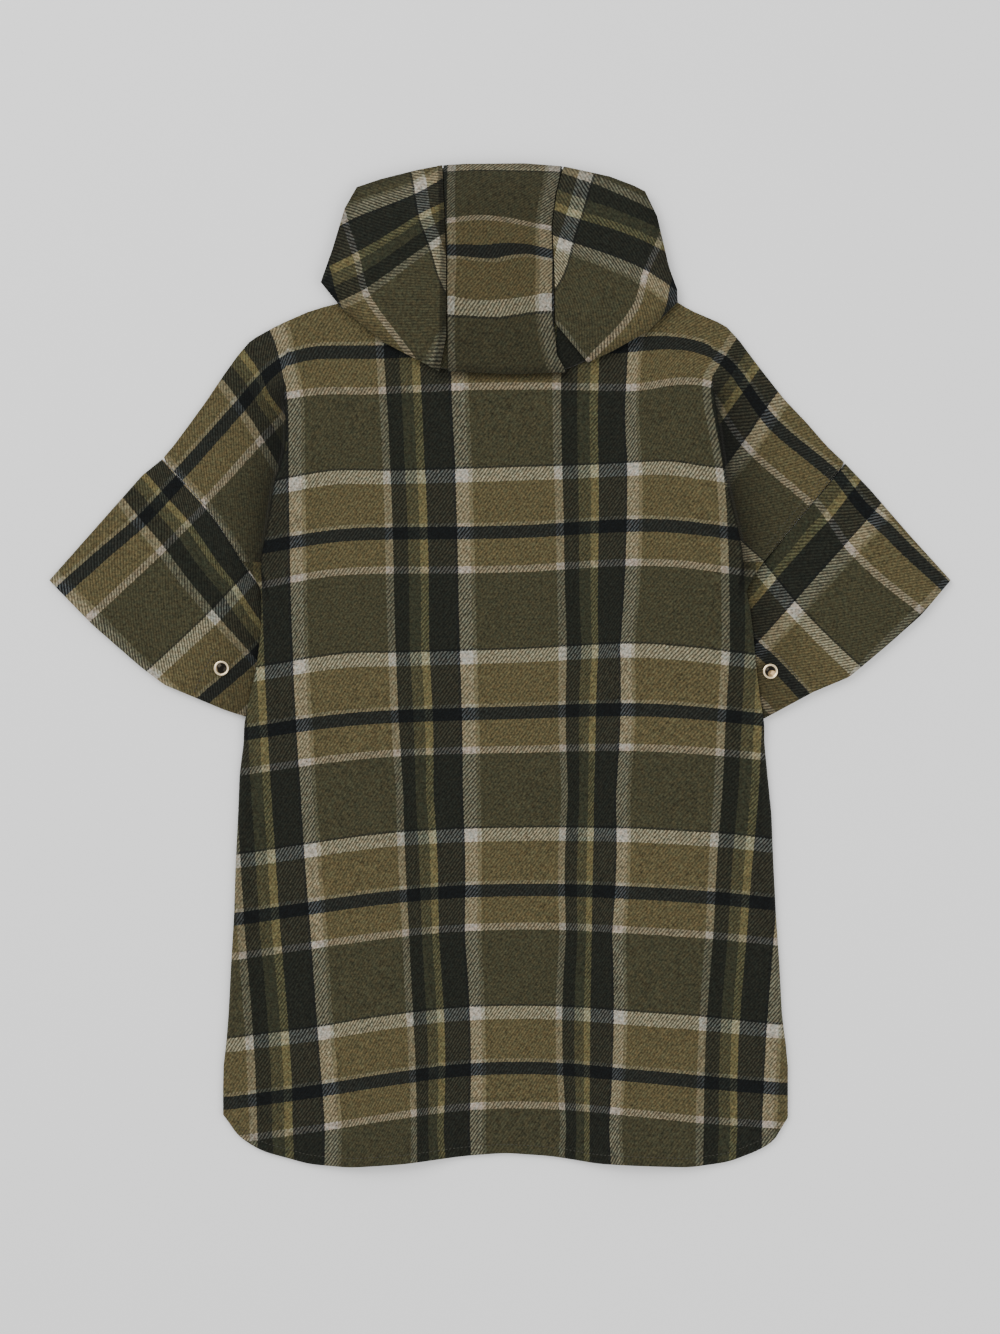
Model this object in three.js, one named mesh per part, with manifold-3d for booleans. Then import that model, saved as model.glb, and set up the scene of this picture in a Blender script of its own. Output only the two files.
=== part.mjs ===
import * as THREE from 'three';
import { mergeVertices } from 'three/addons/utils/BufferGeometryUtils.js';
import Module from 'manifold-3d';

// Hooded cape of heavy checked wool, laid on its front with the hood thrown down on the back.
// Millimetres. X runs to the right over the back, Y towards the hood, Z up from the surface.
// Places on the cape are given as x, and "down": the distance below the hood's top edge.

// Driving dimensions
const LENGTH = 1003;        // hood's top edge to the lowest point of the hem
const CLOTH = 2.2;          // thickness of the brushed twill
const SEAM_GAP = 0.3;       // between two pieces that are sewn or lie on each other
const SLEEVE_PUFF = 3;      // how far the upper layer of a sleeve arches at the cuff
const SLEEVE_PUFF_WIDTH = 40;
const HOOD_RIM = 12;        // top of the hood's layers at their outline
const HOOD_CROWN = 13;      // how far the hood rises from its outline to its middle
const HOOD_SLOPE = 0.5;     // share of the way to the middle that the hood rises over
const HOOD_LAYER_GAP = 1.4; // between the outer panels and the layers under them
const SNAP_DIAMETER = 15.6;
const PLEAT_SLOPE = 6;      // width of the drop beside an armhole pleat

// Levels of the layers that lie on each other
const BACK_UNDERSIDE = CLOTH + SEAM_GAP;
const BACK_TOP = BACK_UNDERSIDE + CLOTH;
const SLEEVE_TOP = BACK_TOP + 0.5;

// The back, in sections across it: its two outer edges, the two pleat lines inside them, how high
// the body lies over the plain layers (level), the extra roll at the pleat lines and the height of
// the outer edges (rim), which lie over the sleeves below the arms.
const BACK_SECTIONS = [
  { down: 138, left: -157, leftFold: -149, rightFold: 169, right: 177, level: 0, roll: 0, rim: 0 },
  { down: 146, left: -188, leftFold: -172, rightFold: 176, right: 190, level: 0, roll: 0, rim: 0 },
  { down: 161, left: -222, leftFold: -196, rightFold: 190, right: 225, level: 0, roll: 0, rim: 0 },
  { down: 176, left: -249, leftFold: -206, rightFold: 200, right: 239, level: 0, roll: 0, rim: 0 },
  { down: 191, left: -262, leftFold: -211, rightFold: 206, right: 250, level: 0, roll: 0, rim: 0 },
  { down: 212, left: -277, leftFold: -215, rightFold: 211, right: 266, level: 0.2, roll: 0.8, rim: 0 },
  { down: 236, left: -293, leftFold: -215, rightFold: 214, right: 285, level: 1.2, roll: 3, rim: 0 },
  { down: 258, left: -309, leftFold: -213, rightFold: 217, right: 306, level: 2, roll: 4, rim: 0 },
  { down: 281, left: -326, leftFold: -213, rightFold: 220, right: 326, level: 2.5, roll: 4, rim: 0 },
  { down: 294.5, left: -337.5, leftFold: -216, rightFold: 222, right: 340, level: 2.5, roll: 4, rim: 0 },
  { down: 299, left: -333.5, leftFold: -218, rightFold: 223, right: 345, level: 2.5, roll: 4, rim: 0 },
  { down: 320, left: -314, leftFold: -225, rightFold: 226, right: 328, level: 2.5, roll: 4, rim: 0 },
  { down: 342, left: -294, leftFold: -228, rightFold: 231, right: 309.7, level: 2.5, roll: 4, rim: 0 },
  { down: 366, left: -278, leftFold: -232, rightFold: 237, right: 289.8, level: 2.5, roll: 4, rim: 0 },
  { down: 386, left: -264.3, leftFold: -236, rightFold: 241, right: 273.3, level: 2.5, roll: 4, rim: 3 },
  { down: 399, left: -255.5, leftFold: -239, rightFold: 242, right: 262.5, level: 2.5, roll: 4, rim: 4.6 },
  { down: 412, left: -246.5, leftFold: -237, rightFold: 240, right: 254, level: 2.5, roll: 4, rim: 4.6 },
  { down: 426, left: -238.5, leftFold: -230, rightFold: 237, right: 246, level: 2.5, roll: 3.6, rim: 4.6 },
  { down: 446, left: -238, leftFold: -229, rightFold: 241, right: 250, level: 2.5, roll: 3.6, rim: 4.6 },
  { down: 470, left: -239, leftFold: -230, rightFold: 244, right: 253, level: 2.5, roll: 3.6, rim: 4.6 },
  { down: 504, left: -243.4, leftFold: -234, rightFold: 247, right: 256, level: 2.5, roll: 3.6, rim: 4.6 },
  { down: 535, left: -250.5, leftFold: -241, rightFold: 251, right: 260, level: 2.5, roll: 3.6, rim: 4.6 },
  { down: 560, left: -255.5, leftFold: -246, rightFold: 255, right: 264, level: 2.5, roll: 3.6, rim: 4.6 },
  { down: 580, left: -256.5, leftFold: -247, rightFold: 255, right: 264.5, level: 2.5, roll: 2, rim: 1 },
  { down: 610, left: -260.5, leftFold: -251, rightFold: 258, right: 267.5, level: 2.5, roll: 1.5, rim: 0 },
  { down: 650, left: -262, leftFold: -252, rightFold: 261, right: 271.5, level: 2.5, roll: 1.5, rim: 0 },
  { down: 700, left: -264.5, leftFold: -254, rightFold: 263, right: 273.5, level: 2.5, roll: 1.5, rim: 0 },
  { down: 750, left: -266, leftFold: -256, rightFold: 266, right: 276, level: 2.5, roll: 1.5, rim: 0 },
  { down: 800, left: -269, leftFold: -259, rightFold: 269, right: 279.5, level: 2.5, roll: 1.5, rim: 0 },
  { down: 850, left: -271.5, leftFold: -261, rightFold: 272, right: 282, level: 2.5, roll: 1.5, rim: 0 },
  { down: 895, left: -274, leftFold: -264, rightFold: 276, right: 286, level: 2.5, roll: 1.5, rim: 0 },
  { down: 935, left: -276.5, leftFold: -266, rightFold: 278, right: 288, level: 2, roll: 1, rim: 0 },
  { down: 970, left: -277, leftFold: -267, rightFold: 278, right: 288, level: 1.5, roll: 0.5, rim: 0 },
  { down: 1003, left: -277, leftFold: -267, rightFold: 278, right: 288, level: 1, roll: 0, rim: 0 },
];

// The hem's line with its rounded shirt-tail corners
const HEM = [
  { x: -277, down: 944 },
  { x: -273, down: 958 },
  { x: -264, down: 971 },
  { x: -239, down: 987 },
  { x: -191, down: 1000 },
  { x: -150, down: 1003 },
  { x: -95, down: 999 },
  { x: -35, down: 992 },
  { x: 5, down: 989 },
  { x: 49, down: 992 },
  { x: 97, down: 999 },
  { x: 190, down: 1003 },
  { x: 229, down: 998 },
  { x: 262, down: 985 },
  { x: 277, down: 975 },
  { x: 285, down: 962 },
  { x: 288, down: 944 },
];
const HEM_BLEND_START = 830;   // the cross sections bend into the hem's line below this

// The drape folds of the skirt, each a ridge that grows from its start down to the hem
const DRAPES = [
  { topX: -112, hemX: -105, start: 420, height: 9, left: 115, right: 75 },
  { topX: 110, hemX: 130, start: 370, height: 9, left: 72, right: 110 },
];

// The front's side edges where the sleeves lie beside it, and its neck
const FRONT_TUCK = [
  { down: 424, left: -222, right: 229 },
  { down: 446, left: -219, right: 228 },
  { down: 470, left: -219, right: 231 },
  { down: 504, left: -224, right: 237 },
  { down: 535, left: -233, right: 243 },
  { down: 560, left: -240, right: 247 },
];
const FRONT_INSET = 1.5;
const SLEEVE_SEAM = { start: 294, end: 390 };   // where the front's edge is the sleeve seam
const NECK = { middle: 10, halfWidth: 95, drop: 85, steps: 12 };

// Edges of the sleeves, from the seam to the cuff or from the shoulder fold to the underarm
const SLEEVES = {
  sleeve_left: {
    seam: [{ x: -338.1, down: 295 }, { x: -314.6, down: 320.5 }, { x: -294.6, down: 342.4 },
      { x: -255.9, down: 399.4 }, { x: -226, down: 425 }],
    shoulder: [{ x: -338.1, down: 295 }, { x: -358, down: 311 }, { x: -451, down: 416 }],
    cuff: [{ x: -451, down: 416 }, { x: -407, down: 461 }, { x: -359, down: 503 },
      { x: -335, down: 521 }, { x: -275, down: 546 }, { x: -244, down: 556 }],
    underarm: [{ x: -226, down: 425 }, { x: -223, down: 470 }, { x: -230, down: 512 },
      { x: -244, down: 556 }],
  },
  sleeve_right: {
    seam: [{ x: 345.6, down: 299.4 }, { x: 299.5, down: 355.4 }, { x: 263, down: 399.4 },
      { x: 233, down: 425 }],
    shoulder: [{ x: 345.6, down: 299.4 }, { x: 371, down: 326 }, { x: 410, down: 371 },
      { x: 451, down: 416 }],
    cuff: [{ x: 451, down: 416 }, { x: 421, down: 451 }, { x: 385, down: 483 },
      { x: 349, down: 513 }, { x: 313, down: 528 }, { x: 265, down: 554 }, { x: 252, down: 560 }],
    underarm: [{ x: 233, down: 425 }, { x: 236, down: 470 }, { x: 243, down: 515 },
      { x: 252, down: 560 }],
  },
};

// Edges of the hood's panels
const HOOD_SEAM_LEFT = [{ x: -57, down: 2 }, { x: -53, down: 98 }, { x: -52, down: 208 }];
const HOOD_SEAM_RIGHT = [{ x: 62.7, down: 3 }, { x: 55.5, down: 32 }, { x: 51.4, down: 66 },
  { x: 53, down: 98 }, { x: 54, down: 129 }, { x: 54, down: 161 }];
const HOOD_EDGES = {
  centreTop: [{ x: -57, down: 2 }, { x: -35, down: 0.5 }, { x: 25, down: 0 }, { x: 62.7, down: 3 }],
  centreFlare: [{ x: 54, down: 161 }, { x: 57, down: 192 }, { x: 67, down: 209 }],
  centreBottom: [{ x: 67, down: 209 }, { x: 10, down: 211 }, { x: -52, down: 208 }],
  leftTop: [{ x: -57, down: 2 }, { x: -83, down: 7 }, { x: -119, down: 16 }, { x: -143, down: 24 }],
  leftOuter: [{ x: -143, down: 24 }, { x: -155, down: 45 }, { x: -167, down: 85 },
    { x: -179, down: 119 }],
  leftLower: [{ x: -179, down: 119 }, { x: -157, down: 146 }, { x: -116, down: 179 },
    { x: -70, down: 205 }, { x: -52, down: 208 }],
  rightTop: [{ x: 62.7, down: 3 }, { x: 109, down: 13 }, { x: 133, down: 22 }, { x: 145, down: 28 }],
  rightOuter: [{ x: 145, down: 28 }, { x: 157, down: 53 }, { x: 169, down: 104 },
    { x: 177, down: 126 }, { x: 177.5, down: 139 }],
  rightLower: [{ x: 177.5, down: 139 }, { x: 148, down: 168 }, { x: 112, down: 188 },
    { x: 87, down: 199.5 }],
  rightInner: [{ x: 87, down: 199.5 }, { x: 72, down: 182 }, { x: 54, down: 161 }],
};
const HOOD_INNER_NOTCH = [{ x: 87, down: 199.5 }, { x: 72, down: 182 }, { x: 54, down: 161 },
  { x: 56, down: 185 }, { x: 60, down: 209 }];
const HOOD_MIDDLE = { x: 4, down: 98 };

// The hidden layers of the hood, as rings of its outline: height of a ring, and its size as a share
// of the outline. The narrower rings are the grooves between the layers.
const HOOD_LAYERS = [
  { height: 0, share: 0.955 },
  { height: 1.1, share: 0.98 },
  { height: 2.6, share: 0.98 },
  { height: 3.2, share: 0.945 },
  { height: 3.8, share: 0.98 },
  { height: 5.6, share: 0.98 },
  { height: 6.2, share: 0.945 },
  { height: 6.8, share: 0.98 },
];
const HOOD_DOME_SHARES = [0.965, 0.9, 0.78, 0.64, 0.45, 0.22];
const NECK_LINE = 137.4;    // the hood's layers lie on the surface above this and on the back below

// Each snap's place on its sleeve: share of the way to the cuff, and from the shoulder to the underarm
const SNAPS = {
  snap_left: { sleeve: 'sleeve_left', across: 0.745, along: 0.795 },
  snap_right: { sleeve: 'sleeve_right', across: 0.715, along: 0.87 },
};

// Section of a snap cap: share of its radius from its middle out under it, round its rolled rim and
// back in over its low dome
const SNAP_SIDES = 20;
const SNAP_PROFILE = [
  { share: 0, height: 0 },
  { share: 0.92, height: 0 },
  { share: 1, height: 0.7 },
  { share: 1, height: 1.6 },
  { share: 0.91, height: 2.5 },
  { share: 0.79, height: 2.6 },
  { share: 0.67, height: 1.7 },
  { share: 0.56, height: 1.7 },
  { share: 0.33, height: 2.4 },
  { share: 0, height: 2.7 },
];

const toY = (down) => LENGTH / 2 - down;
const smooth = (t) => THREE.MathUtils.smoothstep(t, 0, 1);
const lerp = THREE.MathUtils.lerp;

// One value of a table, between the two rows that a position lies between
function lookUp(table, key, position, value) {
  const last = table.length - 1;
  if (position <= table[0][key]) return table[0][value];
  if (position >= table[last][key]) return table[last][value];
  const next = table.findIndex((row) => row[key] >= position);
  const t = (position - table[next - 1][key]) / (table[next][key] - table[next - 1][key]);
  return lerp(table[next - 1][value], table[next][value], t);
}

// A line through the points of one or more edges, measured along its length
function edgeLine(...edges) {
  const line = new THREE.CurvePath();
  const points = edges.flat().map((point) => new THREE.Vector2(point.x, point.down));
  for (let i = 1; i < points.length; i++) {
    if (points[i].distanceTo(points[i - 1]) > 0.01) line.add(new THREE.LineCurve(points[i - 1], points[i]));
  }
  return line;
}

// A point of the patch that four edges bound: across from start to end, along from first to last
function patchPoint({ start, end, first, last }, across, along) {
  const corner = (line, t) => line.getPointAt(t);
  const straight = corner(start, 0).multiplyScalar((1 - across) * (1 - along))
    .addScaledVector(corner(end, 0), across * (1 - along))
    .addScaledVector(corner(start, 1), (1 - across) * along)
    .addScaledVector(corner(end, 1), across * along);
  return start.getPointAt(along).multiplyScalar(1 - across)
    .addScaledVector(end.getPointAt(along), across)
    .addScaledVector(first.getPointAt(across), 1 - along)
    .addScaledVector(last.getPointAt(across), along)
    .sub(straight);
}

// A closed solid from a list of corners [x, y, z] and faces with three or four corners
function solid(corners, faces) {
  const index = faces.flatMap(([a, b, c, d]) => (d === undefined ? [a, b, c] : [a, b, c, a, c, d]));
  const geometry = new THREE.BufferGeometry();
  geometry.setAttribute('position', new THREE.Float32BufferAttribute(corners.flat(), 3));
  geometry.setIndex(index);
  return geometry;
}

// A sheet of cloth: a grid of points on its upper face, each with its own point straight below
function sheet(rows, columns, pointAt) {
  const corners = [];
  for (let i = 0; i <= rows; i++) {
    for (let j = 0; j <= columns; j++) {
      const { x, down, top } = pointAt(i, j);
      corners.push([x, toY(down), top], [x, toY(down), top - CLOTH]);
    }
  }
  const upper = (i, j) => 2 * (i * (columns + 1) + j);
  const lower = (i, j) => upper(i, j) + 1;
  const faces = [];
  for (let i = 0; i < rows; i++) {
    for (let j = 0; j < columns; j++) {
      faces.push([upper(i, j), upper(i + 1, j), upper(i + 1, j + 1), upper(i, j + 1)]);
      faces.push([lower(i, j), lower(i, j + 1), lower(i + 1, j + 1), lower(i + 1, j)]);
    }
    faces.push([upper(i, 0), lower(i, 0), lower(i + 1, 0), upper(i + 1, 0)]);
    faces.push([upper(i + 1, columns), lower(i + 1, columns), lower(i, columns), upper(i, columns)]);
  }
  for (let j = 0; j < columns; j++) {
    faces.push([upper(0, j + 1), lower(0, j + 1), lower(0, j), upper(0, j)]);
    faces.push([upper(rows, j), lower(rows, j), lower(rows, j + 1), upper(rows, j + 1)]);
  }
  return solid(corners, faces);
}

// Height of the skirt's drape folds over the plain back
function drapeHeight(x, down) {
  let height = 0;
  for (const drape of DRAPES) {
    const growth = smooth((down - drape.start) / (LENGTH - drape.start));
    const middle = lerp(drape.topX, drape.hemX, down / LENGTH);
    const reach = x < middle ? drape.left : drape.right;
    const side = Math.min(Math.abs(x - middle) / reach, 1);
    height += drape.height * growth * 0.5 * (1 + Math.cos(Math.PI * side));
  }
  return height;
}

// The back lies on the front, stands a little over it between the pleat lines, and drops beside
// them. Below the arms the strip outside a pleat line is the rounded fold at the side seam.
const BACK_EDGE_COLUMNS = 3;
const BACK_BODY_COLUMNS = 22;
const BACK_ROLL_WIDTH = 28;   // how far in from a pleat line the cloth's roll dies away
const UNDERARM = 420;
const SIDE_ROUNDING = 0.35;   // share of the way up that the side's fold has at its own middle

function backGeometry() {
  const columns = BACK_BODY_COLUMNS + 2 * BACK_EDGE_COLUMNS;
  const hemLow = Math.max(...HEM.map((row) => row.down));
  return sheet(BACK_SECTIONS.length - 1, columns, (i, j) => {
    const { down, left, leftFold, rightFold, right, level, roll, rim } = BACK_SECTIONS[i];
    const edge = Math.min(j, columns - j);
    const [outer, fold] = j < columns / 2 ? [left, leftFold] : [right, rightFold];
    const strip = outer - fold;
    const slopeFoot = fold + Math.sign(strip) * Math.min(PLEAT_SLOPE, 0.6 * Math.abs(strip));
    let x = lerp(leftFold, rightFold, (j - BACK_EDGE_COLUMNS) / BACK_BODY_COLUMNS);
    let rise = level + roll * Math.exp(-Math.abs(x - fold) / BACK_ROLL_WIDTH) + drapeHeight(x, down);
    if (edge < BACK_EDGE_COLUMNS) {
      x = [outer, (outer + slopeFoot) / 2, slopeFoot][edge];
      const rounding = down > UNDERARM ? SIDE_ROUNDING * edge : 0;
      rise = lerp(rim, level + roll, rounding);
    }
    const bend = smooth((down - HEM_BLEND_START) / (LENGTH - HEM_BLEND_START));
    const bent = down + (lookUp(HEM, 'x', x, 'down') - hemLow) * bend;
    return { x, down: bent, top: BACK_TOP + rise };
  });
}

// The front is a flat panel with the back's outline, narrower where the sleeves lie beside it. Its
// edge follows the back's exactly along the sleeve seams and lies a little inside it elsewhere.
function frontGeometry() {
  const side = (name, sign) => {
    const corners = (rows, inset) => rows.map((row) => [row[name] - sign * inset, row.down]);
    const between = (low, high) => BACK_SECTIONS.filter(({ down }) => down > low && down < high);
    const tuckEnd = FRONT_TUCK.at(-1).down;
    return [
      ...corners(between(0, SLEEVE_SEAM.start), FRONT_INSET),
      ...corners(between(SLEEVE_SEAM.start, SLEEVE_SEAM.end), 0),
      ...corners(FRONT_TUCK, 0),
      ...corners(between(tuckEnd, HEM[0].down), FRONT_INSET),
    ];
  };
  const hem = HEM.slice(1, -1).map(({ x, down }) => [x - Math.sign(x) * FRONT_INSET, down - FRONT_INSET]);
  const neck = [];
  for (let i = 0; i <= NECK.steps; i++) {
    const angle = Math.PI * i / NECK.steps;
    const down = BACK_SECTIONS[0].down + NECK.drop * Math.sin(angle);
    neck.push([NECK.middle + NECK.halfWidth * Math.cos(angle), down]);
  }
  const outline = [...side('left', -1), ...hem, ...side('right', 1).reverse(), ...neck];
  const shape = new THREE.Shape(outline.map(([x, down]) => new THREE.Vector2(x, toY(down))));
  return new THREE.ExtrudeGeometry(shape, { depth: CLOTH, bevelEnabled: false, steps: 1 });
}

// A sleeve is a flattened tube: its upper and lower layers meet in a round fold along the shoulder
// and along the underarm, and it is open at the cuff and where it meets the shoulder
const SLEEVE_STATIONS = 8;
const SLEEVE_ACROSS = 11;
const SLEEVE_FOLD_WALL = 2.8;    // wall left in a fold, from its outer edge to the hollow
const SLEEVE_FOLD_ROUND = 1.4;   // how far in from its edge a fold reaches full height

const sleevePatch = (edges) => ({
  start: edgeLine(edges.seam),
  end: edgeLine(edges.cuff),
  first: edgeLine(edges.shoulder),
  last: edgeLine(edges.underarm),
});

function sleeveTop(patch, across, along) {
  const fromFold = Math.min(along, 1 - along) * patch.end.getLength();
  const arch = Math.sin(Math.PI / 2 * Math.min(fromFold / SLEEVE_PUFF_WIDTH, 1));
  return SLEEVE_TOP + SLEEVE_PUFF * across * arch;
}

function sleeveGeometry(edges) {
  const patch = sleevePatch(edges);
  const width = patch.end.getLength();
  const loop = (across, wall) => {
    const inset = wall * SLEEVE_FOLD_WALL / width;
    const points = [];
    const place = (along, height) => {
      const point = patchPoint(patch, across, along);
      points.push([point.x, toY(point.y), height]);
    };
    const round = inset + SLEEVE_FOLD_ROUND / width;
    for (let j = 0; j <= SLEEVE_ACROSS; j++) {
      const along = lerp(round, 1 - round, j / SLEEVE_ACROSS);
      place(along, sleeveTop(patch, across, along) - wall * CLOTH);
    }
    place(1 - inset, SLEEVE_TOP / 2);
    for (let j = SLEEVE_ACROSS; j >= 0; j--) {
      place(lerp(round, 1 - round, j / SLEEVE_ACROSS), wall * CLOTH);
    }
    place(inset, SLEEVE_TOP / 2);
    return points;
  };
  const corners = [];
  for (let i = 0; i <= SLEEVE_STATIONS; i++) {
    corners.push(...loop(i / SLEEVE_STATIONS, 0), ...loop(i / SLEEVE_STATIONS, 1));
  }
  const size = 2 * (SLEEVE_ACROSS + 1) + 2;
  const outer = (i, k) => i * 2 * size + (k % size);
  const inner = (i, k) => outer(i, k) + size;
  const faces = [];
  for (let k = 0; k < size; k++) {
    for (let i = 0; i < SLEEVE_STATIONS; i++) {
      faces.push([outer(i, k), outer(i, k + 1), outer(i + 1, k + 1), outer(i + 1, k)]);
      faces.push([inner(i, k), inner(i + 1, k), inner(i + 1, k + 1), inner(i, k + 1)]);
    }
    const last = SLEEVE_STATIONS;
    faces.push([outer(0, k), inner(0, k), inner(0, k + 1), outer(0, k + 1)]);
    faces.push([outer(last, k), outer(last, k + 1), inner(last, k + 1), inner(last, k)]);
  }
  const facesOut = patch.end.getPointAt(0).x > 0
    ? faces
    : faces.map((face) => [...face].reverse());
  return solid(corners, facesOut);
}

// Height of the hood's outer face, rising from its outline to its middle
const hoodOutline = (notch) => edgeLine(
  HOOD_EDGES.centreTop, HOOD_EDGES.rightTop, HOOD_EDGES.rightOuter, HOOD_EDGES.rightLower, notch,
  HOOD_EDGES.centreBottom.slice(1), [...HOOD_EDGES.leftLower].reverse(),
  [...HOOD_EDGES.leftOuter].reverse(), [...HOOD_EDGES.leftTop].reverse(),
);
const HOOD_OUTLINE = hoodOutline(HOOD_EDGES.centreBottom.slice(0, 1));

// Where a point lies on the way from the hood's middle, 0, to its outline, 1
function shareOfOutline(point) {
  const middle = new THREE.Vector2(HOOD_MIDDLE.x, HOOD_MIDDLE.down);
  const ray = point.clone().sub(middle);
  let share = 0;
  for (const { v1, v2 } of HOOD_OUTLINE.curves) {
    const side = v2.clone().sub(v1);
    const start = v1.clone().sub(middle);
    const crossing = ray.cross(side);
    const alongSide = start.cross(ray) / crossing;
    const alongRay = start.cross(side) / crossing;
    if (alongRay > 0 && alongSide > -1e-6 && alongSide < 1 + 1e-6) share = Math.max(share, 1 / alongRay);
  }
  return Math.min(share, 1);
}

function hoodHeight(point) {
  const rise = Math.min((1 - shareOfOutline(point)) / HOOD_SLOPE, 1);
  return HOOD_RIM + HOOD_CROWN * Math.sin(Math.PI / 2 * rise);
}

function hoodPanelGeometry(patch, rows, columns, shift) {
  return sheet(rows, columns, (i, j) => {
    const across = j / columns;
    const point = patchPoint(patch, across, i / rows);
    const top = hoodHeight(point);
    const fromSeam = shift < 0 ? across : 1 - across;
    return { x: point.x + shift * fromSeam, down: point.y, top };
  });
}

function hoodCentreGeometry() {
  const patch = {
    start: edgeLine(HOOD_SEAM_LEFT),
    end: edgeLine(HOOD_SEAM_RIGHT, HOOD_EDGES.centreFlare),
    first: edgeLine(HOOD_EDGES.centreTop),
    last: edgeLine([...HOOD_EDGES.centreBottom].reverse()),
  };
  return hoodPanelGeometry(patch, 14, 7, 0);
}

function hoodLeftGeometry() {
  const patch = {
    start: edgeLine(HOOD_EDGES.leftOuter),
    end: edgeLine(HOOD_SEAM_LEFT),
    first: edgeLine([...HOOD_EDGES.leftTop].reverse()),
    last: edgeLine(HOOD_EDGES.leftLower),
  };
  return hoodPanelGeometry(patch, 14, 8, -1.5 * SEAM_GAP);
}

function hoodRightGeometry() {
  const patch = {
    start: edgeLine(HOOD_SEAM_RIGHT, [...HOOD_EDGES.rightInner].reverse()),
    end: edgeLine(HOOD_EDGES.rightOuter),
    first: edgeLine(HOOD_EDGES.rightTop),
    last: edgeLine([...HOOD_EDGES.rightLower].reverse()),
  };
  return hoodPanelGeometry(patch, 14, 8, 2.5 * SEAM_GAP);
}

// The hidden layers: rings of the hood's outline stacked up their edge and then closing over the
// top, cut level where they lie on the back
const HOOD_RING_STEP = 20;

function toManifold(wasm, geometry) {
  const bare = geometry.clone();
  bare.deleteAttribute('normal');
  bare.deleteAttribute('uv');
  const merged = mergeVertices(bare, 1e-4);
  return new wasm.Manifold(new wasm.Mesh({
    numProp: 3,
    vertProperties: new Float32Array(merged.attributes.position.array),
    triVerts: new Uint32Array(merged.index.array),
  }));
}

function fromManifold(manifold) {
  const mesh = manifold.getMesh();
  const geometry = new THREE.BufferGeometry();
  geometry.setAttribute('position', new THREE.Float32BufferAttribute(mesh.vertProperties, 3));
  geometry.setIndex([...mesh.triVerts]);
  return geometry;
}

function hoodInnerGeometry(wasm) {
  const middle = new THREE.Vector2(HOOD_MIDDLE.x, HOOD_MIDDLE.down);
  const outline = hoodOutline(HOOD_INNER_NOTCH).curves.flatMap((line) => {
    const steps = Math.ceil(line.getLength() / HOOD_RING_STEP);
    return line.getPoints(steps).slice(0, -1);
  });
  const count = outline.length;
  const ringPoint = (k, share) => middle.clone().lerp(outline[k], share);
  const domeHeight = (point) => hoodHeight(point) - CLOTH - HOOD_LAYER_GAP;
  const corners = [[middle.x, toY(middle.y), 0]];
  const addRing = (share, heightAt) => {
    for (let k = 0; k < count; k++) {
      const point = ringPoint(k, share);
      corners.push([point.x, toY(point.y), heightAt(point)]);
    }
  };
  for (const { height, share } of HOOD_LAYERS) addRing(share, () => height);
  for (const share of HOOD_DOME_SHARES) addRing(share, domeHeight);
  corners.push([middle.x, toY(middle.y), domeHeight(middle)]);
  const rings = HOOD_LAYERS.length + HOOD_DOME_SHARES.length;
  const at = (ring, k) => 1 + ring * count + (k % count);
  const top = corners.length - 1;
  const faces = [];
  for (let k = 0; k < count; k++) {
    faces.push([0, at(0, k), at(0, k + 1)]);
    for (let ring = 0; ring < rings - 1; ring++) {
      faces.push([at(ring, k), at(ring + 1, k), at(ring + 1, k + 1), at(ring, k + 1)]);
    }
    faces.push([at(rings - 1, k), top, at(rings - 1, k + 1)]);
  }
  const layers = toManifold(wasm, solid(corners, faces));
  const room = new THREE.BoxGeometry(LENGTH, LENGTH, 2 * (BACK_TOP + SEAM_GAP));
  room.translate(0, toY(NECK_LINE) - LENGTH / 2, 0);
  return fromManifold(layers.subtract(toManifold(wasm, room)));
}

function snapGeometry() {
  const radius = SNAP_DIAMETER / 2;
  const profile = SNAP_PROFILE.map(({ share, height }) => new THREE.Vector2(share * radius, height));
  const geometry = new THREE.LatheGeometry(profile, SNAP_SIDES);
  geometry.rotateX(Math.PI / 2);
  return geometry;
}

const wasm = await Module();
wasm.setup();

const wool = (color) => new THREE.MeshStandardMaterial({ color, roughness: 0.95, metalness: 0 });
const backWool = wool(0x4d4a30);
const frontWool = wool(0x3f3d2a);
const sleeveWool = wool(0x5a5335);
const hoodWool = wool(0x565236);
const innerWool = wool(0x2c2c22);
const gold = new THREE.MeshStandardMaterial({ color: 0xc9a86a, roughness: 0.2, metalness: 1 });

const cape = new THREE.Group();
const add = (name, geometry, material) => {
  const mesh = new THREE.Mesh(geometry, material);
  mesh.name = name;
  cape.add(mesh);
  return mesh;
};

add('front', frontGeometry(), frontWool);
add('back', backGeometry(), backWool);
for (const [name, edges] of Object.entries(SLEEVES)) add(name, sleeveGeometry(edges), sleeveWool);
add('hood_inner', hoodInnerGeometry(wasm), innerWool);
add('hood_centre', hoodCentreGeometry(), hoodWool);
add('hood_left', hoodLeftGeometry(), hoodWool);
add('hood_right', hoodRightGeometry(), hoodWool);
for (const [name, { sleeve, across, along }] of Object.entries(SNAPS)) {
  const patch = sleevePatch(SLEEVES[sleeve]);
  const point = patchPoint(patch, across, along);
  const snap = add(name, snapGeometry(), gold);
  snap.position.set(point.x, toY(point.y), sleeveTop(patch, across, along) + SEAM_GAP);
}

export default cape;
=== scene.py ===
import bpy
import bmesh
import math
import numpy as np
from mathutils import Matrix, Vector


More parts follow.
